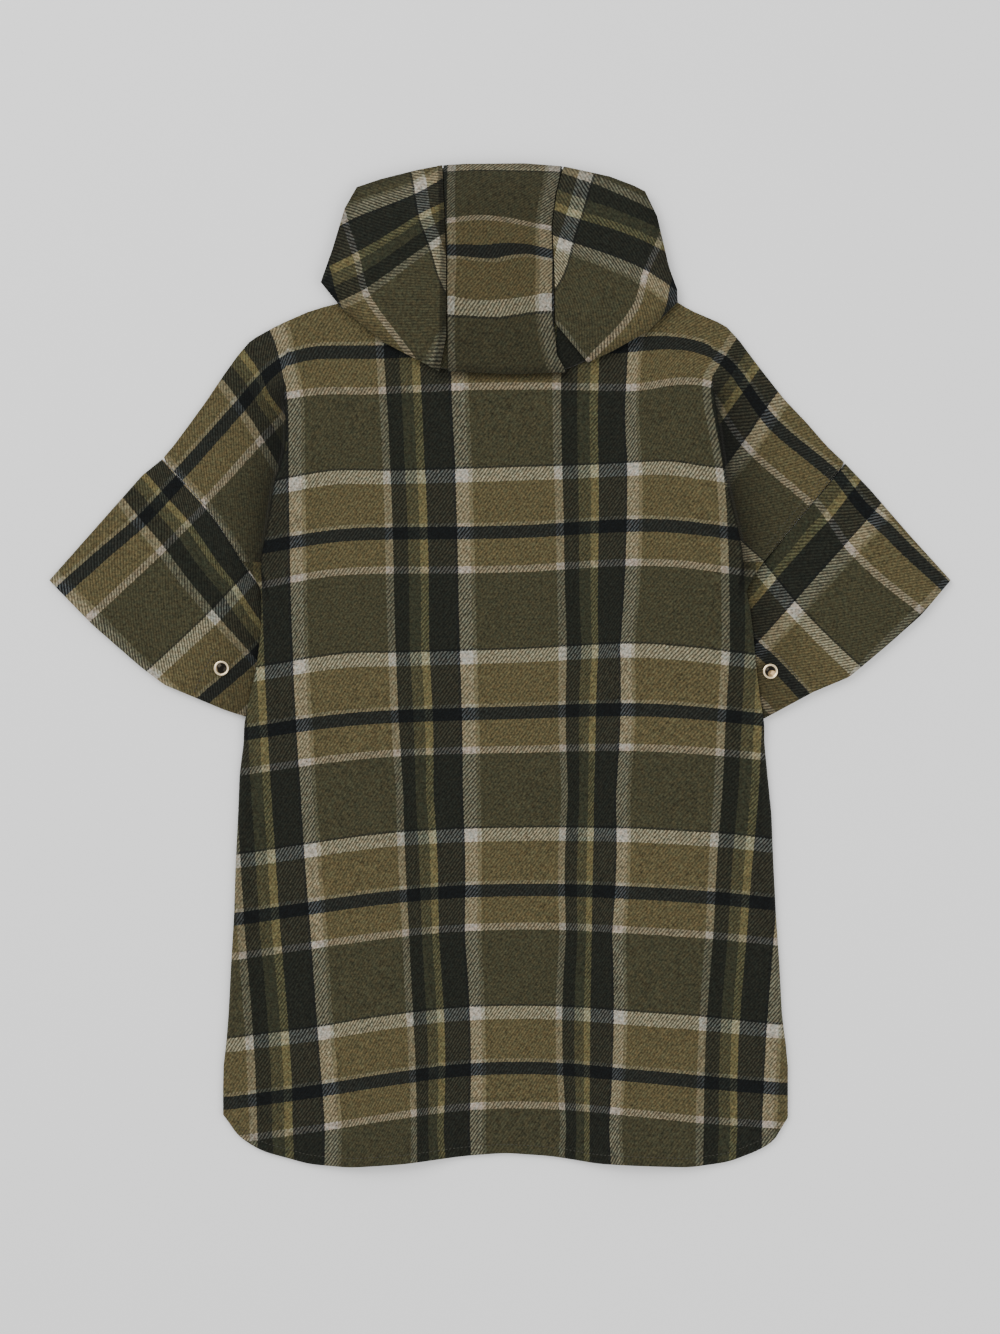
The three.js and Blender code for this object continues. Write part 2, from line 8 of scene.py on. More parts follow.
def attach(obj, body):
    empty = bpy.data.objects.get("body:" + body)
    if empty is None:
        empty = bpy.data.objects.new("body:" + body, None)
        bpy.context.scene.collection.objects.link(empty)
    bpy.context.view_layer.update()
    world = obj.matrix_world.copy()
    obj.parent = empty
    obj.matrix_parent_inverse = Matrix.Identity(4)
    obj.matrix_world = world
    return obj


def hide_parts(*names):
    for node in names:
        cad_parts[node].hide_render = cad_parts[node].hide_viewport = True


# A hooded cape of heavy brushed wool, laid on its front with the hood thrown down on its back.
# Sizes are in millimetres, as x and "down", the distance below the hood's top edge. Blender's
# own coordinates are in metres, with Y towards the hood.
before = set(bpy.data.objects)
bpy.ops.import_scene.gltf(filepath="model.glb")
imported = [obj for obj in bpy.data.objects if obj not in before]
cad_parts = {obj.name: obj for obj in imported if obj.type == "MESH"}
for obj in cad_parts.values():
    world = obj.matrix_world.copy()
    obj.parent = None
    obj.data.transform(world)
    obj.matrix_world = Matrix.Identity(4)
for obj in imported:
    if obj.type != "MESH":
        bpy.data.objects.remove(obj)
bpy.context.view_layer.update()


# The front panel: one piece of brushed twill under everything else, cut with a scooped neck and
# the same shoulders, sides and shirt-tail hem as the back. It lies flat, face down.
LENGTH = 1003
CLOTH = 2.2

BACK_SECTIONS = {
    "down": [
        138, 146, 161, 176, 191, 212, 236, 258, 281, 294.5, 299, 320, 342, 366,
        386, 399, 412, 426, 446, 470, 504, 535, 560, 580, 610, 650, 700, 750,
        800, 850, 895, 935, 970, 1003,
    ],
    "left": [
        -157, -188, -222, -249, -262, -277, -293, -309, -326, -337.5, -333.5, -314, -294, -278,
        -264.3, -255.5, -246.5, -238.5, -238, -239, -243.4, -250.5, -255.5, -256.5, -260.5, -262,
        -264.5, -266,
        -269, -271.5, -274, -276.5, -277, -277,
    ],
    "leftFold": [
        -149, -172, -196, -206, -211, -215, -215, -213, -213, -216, -218, -225, -228, -232,
        -236, -239, -237, -230, -229, -230, -234, -241, -246, -247, -251, -252, -254, -256,
        -259, -261, -264, -266, -267, -267,
    ],
    "rightFold": [
        169, 176, 190, 200, 206, 211, 214, 217, 220, 222, 223, 226, 231, 237,
        241, 242, 240, 237, 241, 244, 247, 251, 255, 255, 258, 261, 263, 266,
        269, 272, 276, 278, 278, 278,
    ],
    "right": [
        177, 190, 225, 239, 250, 266, 285, 306, 326, 340, 345, 328, 309.7, 289.8,
        273.3, 262.5, 254, 246, 250, 253, 256, 260, 264, 264.5, 267.5, 271.5, 273.5, 276,
        279.5, 282, 286, 288, 288, 288,
    ],
    "level": [
        0, 0, 0, 0, 0, 0.2, 1.2, 2, 2.5, 2.5, 2.5, 2.5, 2.5, 2.5,
        2.5, 2.5, 2.5, 2.5, 2.5, 2.5, 2.5, 2.5, 2.5, 2.5, 2.5, 2.5, 2.5, 2.5,
        2.5, 2.5, 2.5, 2, 1.5, 1,
    ],
    "roll": [
        0, 0, 0, 0, 0, 0.8, 3, 4, 4, 4, 4, 4, 4, 4,
        4, 4, 4, 3.6, 3.6, 3.6, 3.6, 3.6, 3.6, 2, 1.5, 1.5, 1.5, 1.5,
        1.5, 1.5, 1.5, 1, 0.5, 0,
    ],
    "rim": [
        0, 0, 0, 0, 0, 0, 0, 0, 0, 0, 0, 0, 0, 0,
        3, 4.6, 4.6, 4.6, 4.6, 4.6, 4.6, 4.6, 4.6, 1, 0, 0, 0, 0,
        0, 0, 0, 0, 0, 0,
    ],
}

HEM = {
    "x": [
        -277, -273, -264, -239, -191, -150, -95, -35, 5, 49, 97, 190, 229, 262, 277, 285, 288,
    ],
    "down": [
        944, 958, 971, 987, 1000, 1003, 999, 992, 989, 992, 999, 1003, 998, 985, 975, 962, 944,
    ],
}
HEM_BLEND_START = 830
HEM_LOW = max(HEM["down"])

FRONT_TUCK = {
    "down": [424, 446, 470, 504, 535, 560],
    "left": [-222, -219, -219, -224, -233, -240],
    "right": [229, 228, 231, 237, 243, 247],
}
FRONT_INSET = 1.5
NECK_MIDDLE, NECK_HALF_WIDTH, NECK_DROP = 10, 95, 85


def smooth(t):
    t = np.clip(t, 0, 1)
    return t * t * (3 - 2 * t)


def level(table, key, position, value):
    return np.interp(position, table[key], table[value])


def eased(table, key, position, value, reach):
    """A table's value with its corners rounded over reach."""
    steps = np.linspace(-reach, reach, 7)
    return sum(level(table, key, position + step, value) for step in steps) / len(steps)


def hem_line(x):
    return eased(HEM, "x", x, "down", 9)


def bent_to_hem(x, down):
    bend = smooth((down - HEM_BLEND_START) / (LENGTH - HEM_BLEND_START))
    return down + (hem_line(x) - HEM_LOW) * bend


# The check's woven lines as they lie on the body: warp stripes run down it, weft stripes across.
# Each line has its place in the cloth, in mm of cloth, and where it passes, as x and down.
BODY_WARPS = [
    {"warp": -72, "through": [(-272, 629), (-263, 769), (-251, 964)]},
    {"warp": -37, "through": [(-244, 484), (-237, 629), (-228, 769), (-216, 964)]},
    {"warp": 0, "through": [(-229.5, 168), (-220.5, 195), (-214, 222), (-211, 294), (-207, 484),
        (-199, 629), (-189, 769), (-175, 964)]},
    {"warp": 16, "through": [(-209, 168), (-204.5, 195), (-198, 222), (-195, 294), (-192, 484),
        (-184, 629), (-173, 769), (-158, 964)]},
    {"warp": 96, "through": [(-123, 212), (-118, 294), (-112, 484),
        (-104, 629), (-98, 769), (-89, 964)]},
    {"warp": 131, "through": [(-88, 212), (-84, 294), (-79, 484),
        (-74, 629), (-68, 769), (-63, 964)]},
    {"warp": 168, "through": [(-49, 212), (-45, 294), (-40, 484),
        (-37, 629), (-35, 769), (-30, 964)]},
    {"warp": 264, "through": [(52, 212), (53, 294), (58, 484), (61, 629), (59, 769), (60, 964)]},
    {"warp": 299, "through": [(90, 212), (90, 294), (92, 484), (88, 629), (86, 769), (84, 964)]},
    {"warp": 336, "through": [(127, 212), (127, 294), (120, 484),
        (116, 629), (112, 769), (109, 964)]},
    {"warp": 432, "through": [(228, 172), (216, 190), (203, 212), (213, 294), (221, 484),
        (213, 629), (205, 769), (195, 964)]},
    {"warp": 467, "through": [(256, 484), (250, 629), (239, 769), (230, 964)]},
    {"warp": 504, "through": [(293, 484), (287, 629), (274, 769), (262, 964)]},
]
BODY_WEFTS = [
    {"weft": -118.5, "through": [(-210, 194), (-191, 189), (-168, 187.5), (-124, 187.5),
        (132, 180), (157, 178), (200, 183), (212, 188)]},
    {"weft": -85, "through": [(-214, 228), (-190, 224), (-140, 223), (-50, 219),
        (35, 218), (140, 219), (200, 214)]},
    {"weft": 0, "through": [(-223, 317), (-166, 307), (-121, 307), (-6, 304), (24, 303),
        (149, 298), (174, 298), (199, 302), (223, 305)]},
    {"weft": 57, "through": [(-228, 375), (-180, 367), (35, 360), (180, 356), (235, 363)]},
    {"weft": 97, "through": [(-232, 416), (-170, 405), (35, 400), (180, 396), (240, 404)]},
    {"weft": 182, "through": [(-246, 504), (-166, 491), (-146, 489), (-121, 489), (-6, 486),
        (24, 485), (149, 480), (174, 482), (199, 484), (229, 488)]},
    {"weft": 239, "through": [(35, 541)]},
    {"weft": 279, "through": [(35, 581)]},
    {"weft": 364, "through": [(-246, 688), (-166, 676), (-146, 673), (-121, 670), (-6, 664),
        (149, 665), (199, 668), (229, 670), (264, 674)]},
    {"weft": 421, "through": [(35, 719)]},
    {"weft": 461, "through": [(35, 758)]},
    {"weft": 546, "through": [(-246, 871), (-166, 860), (-146, 856), (-121, 852), (-6, 842),
        (44, 842), (149, 848), (199, 852), (264, 859)]},
    {"weft": 603, "through": [(35, 897)]},
    {"weft": 643, "through": [(-246, 969), (-166, 957), (-121, 949), (-6, 937),
        (149, 945), (199, 951), (264, 956)]},
]


def fitted(lines, key):
    """A smooth sheet through lines of known cloth place, by thin plate bending."""
    known = np.array([point for line in lines for point in line["through"]], float) / 100
    place = np.array([line[key] for line in lines for _ in line["through"]], float)
    count = len(known)

    def pull(at):
        square = ((at[:, None] - known[None]) ** 2).sum(-1)
        return square * np.log(square + 1e-9)

    plane = np.column_stack([np.ones(count), known])
    bending = pull(known) + 0.002 * np.eye(count)
    system = np.block([[bending, plane], [plane.T, np.zeros((3, 3))]])
    weights = np.linalg.solve(system, np.concatenate([place, np.zeros(3)]))

    def value(x, down):
        at = np.column_stack([x, down]) / 100
        return pull(at) @ weights[:count] + np.column_stack([np.ones(len(at)), at]) @ weights[count:]

    return value


def check(warps, wefts):
    warp, weft = fitted(warps, "warp"), fitted(wefts, "weft")
    return lambda x, down: np.column_stack([warp(x, down), weft(x, down)])


body_check = check(BODY_WARPS, BODY_WEFTS)


def cloth_piece(name, columns, rows, shape, checks, which=None, tube=False):
    """A grid of cloth bent to shape(across, along), which gives x, down, height and the painted shade of
    the fold that a place lies in. checks lay the woven lines, and which picks one by its place."""
    cloth = bmesh.new()
    bmesh.ops.create_grid(cloth, x_segments=columns, y_segments=rows, size=1)
    cloth.verts.ensure_lookup_table()
    flat = np.array([vert.co for vert in cloth.verts])
    x, down, height, fold = shape((flat[:, 0] + 1) / 2, (1 - flat[:, 1]) / 2)
    fold = np.broadcast_to(fold, x.shape)
    # painted shade: the 'fold' attribute holds how much darker the cloth's colour is painted where it lies
    # in shade
    shade = cloth.verts.layers.float.new("fold")
    for vert, px, pd, pz, depth in zip(cloth.verts, x, down, height, fold):
        vert.co = Vector((px, LENGTH / 2 - pd, pz)) / 1000
        vert[shade] = depth
    laid = [lay(x, down) / 1000 for lay in checks]
    uv = cloth.loops.layers.uv.new("cloth")
    for face in cloth.faces:
        ids = [vert.index for vert in face.verts]
        pick = 0
        if which:
            pick = which(x[ids].mean(), down[ids].mean())
        for loop in face.loops:
            loop[uv].uv = laid[pick][loop.vert.index]
        face.smooth = True
    if tube:
        bmesh.ops.remove_doubles(cloth, verts=cloth.verts, dist=1e-6)
    bmesh.ops.recalc_face_normals(cloth, faces=cloth.faces)
    if not tube and sum(face.normal.z for face in cloth.faces) < 0:
        bmesh.ops.reverse_faces(cloth, faces=cloth.faces)
    mesh = bpy.data.meshes.new(name)
    cloth.to_mesh(mesh)
    cloth.free()
    piece = bpy.data.objects.new(name, mesh)
    bpy.context.scene.collection.objects.link(piece)
    return piece


def walled(piece, wall=CLOTH):
    """Gives a piece its cloth's thickness under its face, with softened edges."""
    solidify = piece.modifiers.new("wall", "SOLIDIFY")
    solidify.thickness = wall / 1000
    solidify.offset = -1
    edge = piece.modifiers.new("edge", "BEVEL")
    edge.width = 0.0007
    edge.segments = 2
    edge.limit_method = "ANGLE"
    edge.angle_limit = math.radians(60)
    return piece


class Tone:
    """One output of a material's nodes, with sums on it written as Python."""

    def __init__(self, tree, output=None):
        self.tree = tree
        self.output = output

    def node(self, kind, settings=None, inputs=None, output=0):
        made = self.tree.nodes.new(kind)
        for key, value in (settings or {}).items():
            if key == "stops":
                ramp = made.color_ramp
                ramp.interpolation = "CONSTANT"
                while len(ramp.elements) < len(value):
                    ramp.elements.new(1.0)
                for element, (place, colour) in zip(ramp.elements, value):
                    element.position = place
                    element.color = (*colour, 1)
            else:
                setattr(made, key, value)
        for key, value in (inputs or {}).items():
            if isinstance(value, Tone):
                self.tree.links.new(value.output, made.inputs[key])
            else:
                made.inputs[key].default_value = value
        return Tone(self.tree, made.outputs[output] if made.outputs else None)

    def math(self, operation, *others):
        values = dict(enumerate((self, *others)))
        return self.node("ShaderNodeMath", {"operation": operation}, values)

    def __add__(self, other):
        return self.math("ADD", other)

    def __radd__(self, other):
        return self + other

    def __sub__(self, other):
        return self.math("SUBTRACT", other)

    def __rsub__(self, other):
        return self * -1 + other

    def __mul__(self, other):
        return self.math("MULTIPLY", other)

    def __rmul__(self, other):
        return self * other

    def __truediv__(self, other):
        return self.math("DIVIDE", other)

    def times(self, other):
        """This colour multiplied by another."""
        settings = {"operation": "MULTIPLY"}
        return self.node("ShaderNodeVectorMath", settings, {0: self, 1: other})

    def scaled(self, factor):
        settings = {"operation": "SCALE"}
        return self.node("ShaderNodeVectorMath", settings, {0: self, "Scale": factor})

    def mixed(self, other, factor):
        """This colour turned into another by a factor."""
        settings = {"data_type": "RGBA"}
        return self.node("ShaderNodeMix", settings, {0: factor, 6: self, 7: other}, 2)

    def noise(self, scale, detail=2.0, roughness=0.5):
        values = {"Vector": self, "Scale": scale, "Detail": detail, "Roughness": roughness}
        return self.node("ShaderNodeTexNoise", None, values)


def new_material(name):
    material = bpy.data.materials.new(name)
    material.use_nodes = True
    tree = material.node_tree
    tree.nodes.clear()
    return material, Tone(tree)


# The check: bands of the warp and of the weft, in mm from the start of a repeat. A band's colour is
# how it shows over the dark weft, and a weft band multiplies the warp's colour.
WARP_REPEAT = 168
WARP_BANDS = [
    {"start": 0, "colour": (0.073, 0.070, 0.0465), "light": 1.0},
    {"start": 12, "colour": (0.054, 0.052, 0.031), "light": 0.75},
    {"start": 16, "colour": (0.0346, 0.0325, 0.0168), "light": 0.45},
    {"start": 96, "colour": (0.058, 0.056, 0.036), "light": 0.85},
    {"start": 104, "colour": (0.0090, 0.0100, 0.0067), "light": 0.15},
    {"start": 119, "colour": (0.0213, 0.0223, 0.0122), "light": 0.35},
    {"start": 131, "colour": (0.0455, 0.0440, 0.0213), "light": 0.75},
    {"start": 139, "colour": (0.0092, 0.0102, 0.0072), "light": 0.15},
    {"start": 165, "colour": (0.0074, 0.0082, 0.0068), "light": 0.10},
]
WEFT_REPEAT = 182
WEFT_STRENGTH = 6
WEFT_BANDS = [
    {"start": 0, "factor": (3.95, 3.80, 4.70), "light": 1.0},
    {"start": 13, "factor": (1.92, 1.70, 1.52), "light": 0.62},
    {"start": 54, "factor": (2.7, 2.5, 2.7), "light": 0.8},
    {"start": 57, "factor": (0.33, 0.38, 0.58), "light": 0.05},
    {"start": 70, "factor": (1.92, 1.70, 1.52), "light": 0.62},
    {"start": 97, "factor": (3.5, 3.15, 3.85), "light": 0.95},
    {"start": 104, "factor": (1.0, 1.0, 1.0), "light": 0.35},
    {"start": 179.5, "factor": (0.6, 0.62, 0.75), "light": 0.1},
]
TWILL_PITCH = 0.0046      # between two ribs of the twill, down the cloth
TWILL_STEEPNESS = 1.3     # rise of a rib for each step across


def checked_wool():
    """Brushed two-and-two twill: bands of warp and weft, ribs that run up to the right, nap."""
    material, start = new_material("checked_wool")
    place = start.node("ShaderNodeUVMap", {"uv_map": "cloth"})
    whole = start.node("ShaderNodeTexCoord", output="Object")
    split = start.node("ShaderNodeSeparateXYZ", None, {0: place})
    warp, weft = split, Tone(start.tree, split.output.node.outputs[1])
    ragged = place.noise(650, 1.0)
    wander = (ragged - 0.5) * 0.0022
    across = ((warp + wander) / (WARP_REPEAT / 1000)).math("FRACT")
    along = ((weft + wander) / (WEFT_REPEAT / 1000)).math("FRACT")

    def bands(position, table, repeat, key, strength=1):
        stops = []
        for band in table:
            value = band[key]
            colour = value if isinstance(value, tuple) else (value, value, value)
            stops.append((band["start"] / repeat, tuple(part / strength for part in colour)))
        return position.node("ShaderNodeValToRGB", {"stops": stops}, {0: position})

    warp_colour = bands(across, WARP_BANDS, WARP_REPEAT, "colour")
    weft_factor = bands(along, WEFT_BANDS, WEFT_REPEAT, "factor", WEFT_STRENGTH)
    warp_light = bands(across, WARP_BANDS, WARP_REPEAT, "light")
    weft_light = bands(along, WEFT_BANDS, WEFT_REPEAT, "light")
    contrast = (warp_light - weft_light).math("ABSOLUTE")

    rib_noise = (place.noise(300, 2.0) - 0.5) * 0.5
    phase = (warp * TWILL_STEEPNESS + weft) / TWILL_PITCH + rib_noise
    rib = ((phase * (2 * math.pi)).math("SINE") * 1.5).math("MAXIMUM", -1).math("MINIMUM", 1)
    hatch = rib * (contrast * 0.85 + 0.12) + 1

    nap = (whole.noise(400, 2.0, 0.7) - 0.5) * 2.7 + 1
    soft = (whole.noise(55, 3.0, 0.6) - 0.5) * 0.22 + 1
    heather = ((whole.noise(260, 2.0) - 0.5) * 2.5 + 0.5).math("MAXIMUM", 0).math("MINIMUM", 1)
    tint = warp_colour.node("ShaderNodeMix", {"data_type": "RGBA"},
                            {0: heather, 6: (1.09, 0.98, 0.92, 1), 7: (0.92, 1.02, 1.06, 1)}, 2)
    # painted shade: the 'fold' attribute darkens the colour where the cloth lies in shade, beside the
    # pleats, under the hood's edge, at the underarms and in the hood's hidden layers
    fold = start.node("ShaderNodeAttribute", {"attribute_name": "fold"}, output="Fac")
    depth = 1 - fold * 0.85

    colour = warp_colour.times(weft_factor).scaled(WEFT_STRENGTH).times(tint)
    colour = colour.scaled(hatch * nap * soft * depth)
    height = rib * 0.35 + whole.noise(1500, 2.0) * 0.7
    bump = start.node("ShaderNodeBump", None, {"Strength": 0.45, "Distance": 0.0006, "Height": height})
    surface = start.node("ShaderNodeBsdfPrincipled", None, {
        "Base Color": colour, "Roughness": 0.93, "Normal": bump, "Specular IOR Level": 0.1,
        "Sheen Weight": 0.07, "Sheen Roughness": 0.55, "Sheen Tint": (0.95, 0.93, 0.85, 1),
    })
    start.node("ShaderNodeOutputMaterial", None, {"Surface": surface})
    return material


wool = checked_wool()

FRONT_ROWS = 120
FRONT_COLUMNS = 90


def side_of_front(side, down):
    """The front's side edge: the back's own, drawn in where the sleeves lie beside it."""
    inward = 1 if side == "left" else -1
    outer = level(BACK_SECTIONS, "down", down, side) + inward * FRONT_INSET
    tucked = level(FRONT_TUCK, "down", down, side)
    share = np.interp(down, [390, 424, 560, 580], [0, 1, 1, 0])
    return outer * (1 - share) + tucked * share


def front_shape(across, along):
    top_x = level(BACK_SECTIONS, "down", 138, "left") * (1 - across) + 177 * across
    reach = np.clip(1 - ((top_x - NECK_MIDDLE) / NECK_HALF_WIDTH) ** 2, 0, 1)
    top = 138 + NECK_DROP * np.sqrt(reach)
    down = top + (LENGTH - FRONT_INSET - top) * along
    left, right = side_of_front("left", down), side_of_front("right", down)
    x = left + (right - left) * across
    return x, bent_to_hem(x, down), np.full_like(x, CLOTH), 0


front = walled(cloth_piece("front_panel", FRONT_COLUMNS, FRONT_ROWS, front_shape, [body_check]))
front.data.materials.append(wool)
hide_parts("front")
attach(front, "root")


# The back panel: one piece of the same cloth, cut in one with the dropped shoulders. A soft pleat
# drops in front of each armhole, and two drape folds open towards the topstitched hem.
SEAM_GAP = 0.3
BACK_UNDERSIDE = CLOTH + SEAM_GAP
BACK_TOP = BACK_UNDERSIDE + CLOTH
PLEAT_SLOPE = 6
BACK_ROLL_WIDTH = 28
UNDERARM = 420

DRAPES = [
    {"topX": -112, "hemX": -105, "start": 420, "height": 9, "left": 115, "right": 75},
    {"topX": 110, "hemX": 130, "start": 370, "height": 9, "left": 72, "right": 110},
]

# Small soft creases of the back: middle, turn from across in degrees, length, width, depth
BACK_CREASES = [
    {"x": -150, "down": 262, "turn": 62, "length": 120, "width": 12, "depth": 0.9},
    {"x": 168, "down": 255, "turn": -60, "length": 130, "width": 13, "depth": 1.0},
    {"x": -176, "down": 410, "turn": 78, "length": 110, "width": 10, "depth": 0.7},
    {"x": 190, "down": 430, "turn": -80, "length": 120, "width": 11, "depth": 0.8},
    {"x": -30, "down": 520, "turn": 86, "length": 200, "width": 22, "depth": 0.6},
    {"x": 40, "down": 690, "turn": -84, "length": 240, "width": 24, "depth": 0.8},
    {"x": -215, "down": 760, "turn": 82, "length": 180, "width": 15, "depth": 0.9},
    {"x": 228, "down": 720, "turn": -85, "length": 190, "width": 14, "depth": 0.8},
]

HEM_STITCH = 9            # the hem's topstitch, in from its edge
STITCH_DENT, STITCH_DENT_WIDTH = 0.7, 2.2
HEM_TURN, HEM_TURN_WIDTH = 0.9, 1.6       # the face turns down at the hem's edge
# painted shade beside each pleat at the armhole, fading over PLEAT_SHADE_WIDTH mm, and painted shadow under
# the hood's lower edge
PLEAT_SHADE, PLEAT_SHADE_WIDTH = 0.95, 22
UNDER_HOOD_SHADE = 0.55
BODY_SHARE = 0.07         # share of the columns outside each pleat line
BACK_COLUMNS = 124
BACK_ROW_PLACES = np.concatenate([np.linspace(138, 978, 169), np.linspace(979.5, 1003, 17)])


def drape_height(x, down):
    height = 0
    for drape in DRAPES:
        growth = smooth((down - drape["start"]) / (LENGTH - drape["start"]))
        middle = drape["topX"] + (drape["hemX"] - drape["topX"]) * down / LENGTH
        reach = np.where(x < middle, drape["left"], drape["right"])
        side = np.minimum(np.abs(x - middle) / reach, 1)
        height = height + drape["height"] * growth * 0.5 * (1 + np.cos(np.pi * side))
    return height


def crease_depth(creases, x, down):
    """How far soft creases press the cloth down at a place."""
    depth = 0
    for crease in creases:
        turn = math.radians(crease["turn"])
        dx, dd = x - crease["x"], down - crease["down"]
        along = (dx * math.cos(turn) - dd * math.sin(turn)) / (crease["length"] / 2)
        across = (dx * math.sin(turn) + dd * math.cos(turn)) / crease["width"]
        fade = smooth(1 - np.abs(along))
        trough = np.exp(-across ** 2) - 0.45 * np.exp(-(np.abs(across) - 1.7) ** 2)
        depth = depth + crease["depth"] * fade * trough
    return depth


def back_rise(x, down):
    """Height of the back's face over its plain level, and the painted shade beside each pleat and under
    the hood's lower edge. down is the place before the cloth is bent to the hem's line."""
    keys = ("left", "right", "level", "roll", "rim")
    here = {key: level(BACK_SECTIONS, "down", down, key) for key in keys}
    left_fold = eased(BACK_SECTIONS, "down", down, "leftFold", 9)
    right_fold = eased(BACK_SECTIONS, "down", down, "rightFold", 9)
    left_side = x < (left_fold + right_fold) / 2
    fold = np.where(left_side, left_fold, right_fold)
    strip = np.abs(np.where(left_side, here["left"], here["right"]) - fold)
    near = np.minimum(PLEAT_SLOPE, 0.6 * strip)
    outside = np.maximum(np.where(left_side, left_fold - x, x - right_fold), 0)
    ridge = here["level"] + here["roll"]
    drape = drape_height(x, down)
    inner = here["level"] + here["roll"] * np.exp(-np.abs(x - fold) / BACK_ROLL_WIDTH) + drape
    step = here["rim"] + (ridge - here["rim"]) * (1 - smooth(outside / near))
    turned = here["rim"] + (ridge - here["rim"]) * np.sqrt(np.clip(1 - (outside / strip) ** 2, 0, 1))
    round_side = smooth((down - UNDERARM + 15) / 30)
    edge_rise = step * (1 - round_side) + turned * round_side + drape
    rise = np.where(outside > 0, edge_rise, inner)
    rise = rise - crease_depth(BACK_CREASES, x, down) * smooth((down - 150) / 60)
    from_hem = hem_line(x) - bent_to_hem(x, down)
    rise = rise - STITCH_DENT * np.exp(-((from_hem - HEM_STITCH) / STITCH_DENT_WIDTH) ** 2)
    rise = rise - HEM_TURN * np.exp(-np.abs(from_hem) / HEM_TURN_WIDTH)
    armhole = smooth((down - 205) / 30) * smooth((440 - down) / 30)
    shade = PLEAT_SHADE * np.exp(-outside / PLEAT_SHADE_WIDTH) * armhole
    # painted shadow that the hood's lower edge casts on the back
    painted_hood_shadow = smooth((70 - np.abs(x - 4)) / 8) * smooth((down - 196) / 8) * smooth((220 - down) / 9)
    return rise, np.maximum(np.where(outside > 0, shade, 0), UNDER_HOOD_SHADE * painted_hood_shadow)


def back_shape(across, along):
    down = np.interp(along, np.linspace(0, 1, len(BACK_ROW_PLACES)), BACK_ROW_PLACES)
    left_fold = eased(BACK_SECTIONS, "down", down, "leftFold", 9)
    right_fold = eased(BACK_SECTIONS, "down", down, "rightFold", 9)
    left_side = across < 0.5
    edge = np.minimum(across, 1 - across) / BODY_SHARE
    fold = np.where(left_side, left_fold, right_fold)
    outer = np.where(left_side, level(BACK_SECTIONS, "down", down, "left"),
                     level(BACK_SECTIONS, "down", down, "right"))
    strip = np.abs(outer - fold)
    near = np.minimum(PLEAT_SLOPE, 0.6 * strip)
    outside = np.where(edge < 0.5, strip + (near - strip) * edge * 2, near * (2 - edge * 2))
    inside = (across - BODY_SHARE) / (1 - 2 * BODY_SHARE)
    x = np.where(edge >= 1, left_fold + (right_fold - left_fold) * inside,
                 fold + np.sign(outer - fold) * np.maximum(outside, 1e-3))
    # depth is the painted shade beside the pleats and under the hood
    rise, depth = back_rise(x, down)
    return x, bent_to_hem(x, down), BACK_TOP + rise, depth


# The check past each pleat line turns to follow the dropped shoulder
LEFT_ARM_WARPS = [
    {"warp": 0, "through": [(-229.5, 168), (-220.5, 195), (-214, 222)]},
    {"warp": 16, "through": [(-209, 168), (-204.5, 195), (-198, 222)]},
    {"warp": -33, "through": [(-259, 189), (-241, 213), (-219, 250)]},
    {"warp": -68, "through": [(-278, 222), (-263, 242), (-241, 277), (-224, 305)]},
    {"warp": -158, "through": [(-337, 294), (-314, 320), (-294, 342), (-249.3, 408)]},
]
LEFT_ARM_WEFTS = [
    {"weft": -118.5, "through": [(-168, 187.5), (-191, 189), (-210, 194), (-223, 202), (-257, 238),
        (-300, 287), (-321, 310)]},
    {"weft": -81.5, "through": [(-200, 229), (-218, 253), (-241, 277), (-292, 333)]},
    {"weft": 0, "through": [(-243, 402)]},
]
RIGHT_ARM_WARPS = [
    {"warp": 432, "through": [(203, 212), (216, 190), (228, 172)]},
    {"warp": 467, "through": [(242, 216), (230, 232), (217, 250)]},
    {"warp": 504, "through": [(270, 239), (250, 269), (232, 294)]},
    {"warp": 600, "through": [(345, 299), (335.7, 310.8), (315, 339), (262.5, 399.2)]},
]
RIGHT_ARM_WEFTS = [
    {"weft": -118.5, "through": [(200, 184), (225, 197), (250, 229),
        (272, 258), (294, 278), (323, 301)]},
    {"weft": -81.5, "through": [(200, 217), (243, 278), (276, 309), (302, 331)]},
]
ARMHOLE_END = 397
SHOULDER_LINES = {
    "down": [138, 168, 195, 212] + BACK_SECTIONS["down"][6:20],
    "left": [-232, -219, -213, -214] + BACK_SECTIONS["leftFold"][6:20],
    "right": [215, 213, 212, 211] + BACK_SECTIONS["rightFold"][6:20],
}


def back_region(x, down):
    """0 on the body, 1 on the left shoulder and 2 on the right one."""
    if down > ARMHOLE_END:
        return 0
    if x < max(level(SHOULDER_LINES, "down", down, "left"), level(BACK_SECTIONS, "down", down, "left")):
        return 1
    if x > level(SHOULDER_LINES, "down", down, "right"):
        return 2
    return 0


back_checks = [
    body_check,
    check(LEFT_ARM_WARPS, LEFT_ARM_WEFTS),
    check(RIGHT_ARM_WARPS, RIGHT_ARM_WEFTS),
]
back = walled(cloth_piece("back_panel", BACK_COLUMNS, len(BACK_ROW_PLACES) - 1, back_shape,
                          back_checks, back_region))
back.data.materials.append(wool)
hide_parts("back")
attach(back, "root")


# The sleeves: wide short tubes of the same cloth, sewn to the dropped shoulders and pressed flat,
# so that they fold round along the shoulder and the underarm and stay open at the cuff.
SLEEVE_TOP = BACK_TOP + 0.5
SLEEVE_PUFF = 3
SLEEVE_PUFF_WIDTH = 40
# painted shade on a sleeve's face where it runs in under the body's edge
UNDERARM_SHADE = 0.55
SLEEVE_COLUMNS = 104
SLEEVE_ROWS = 40

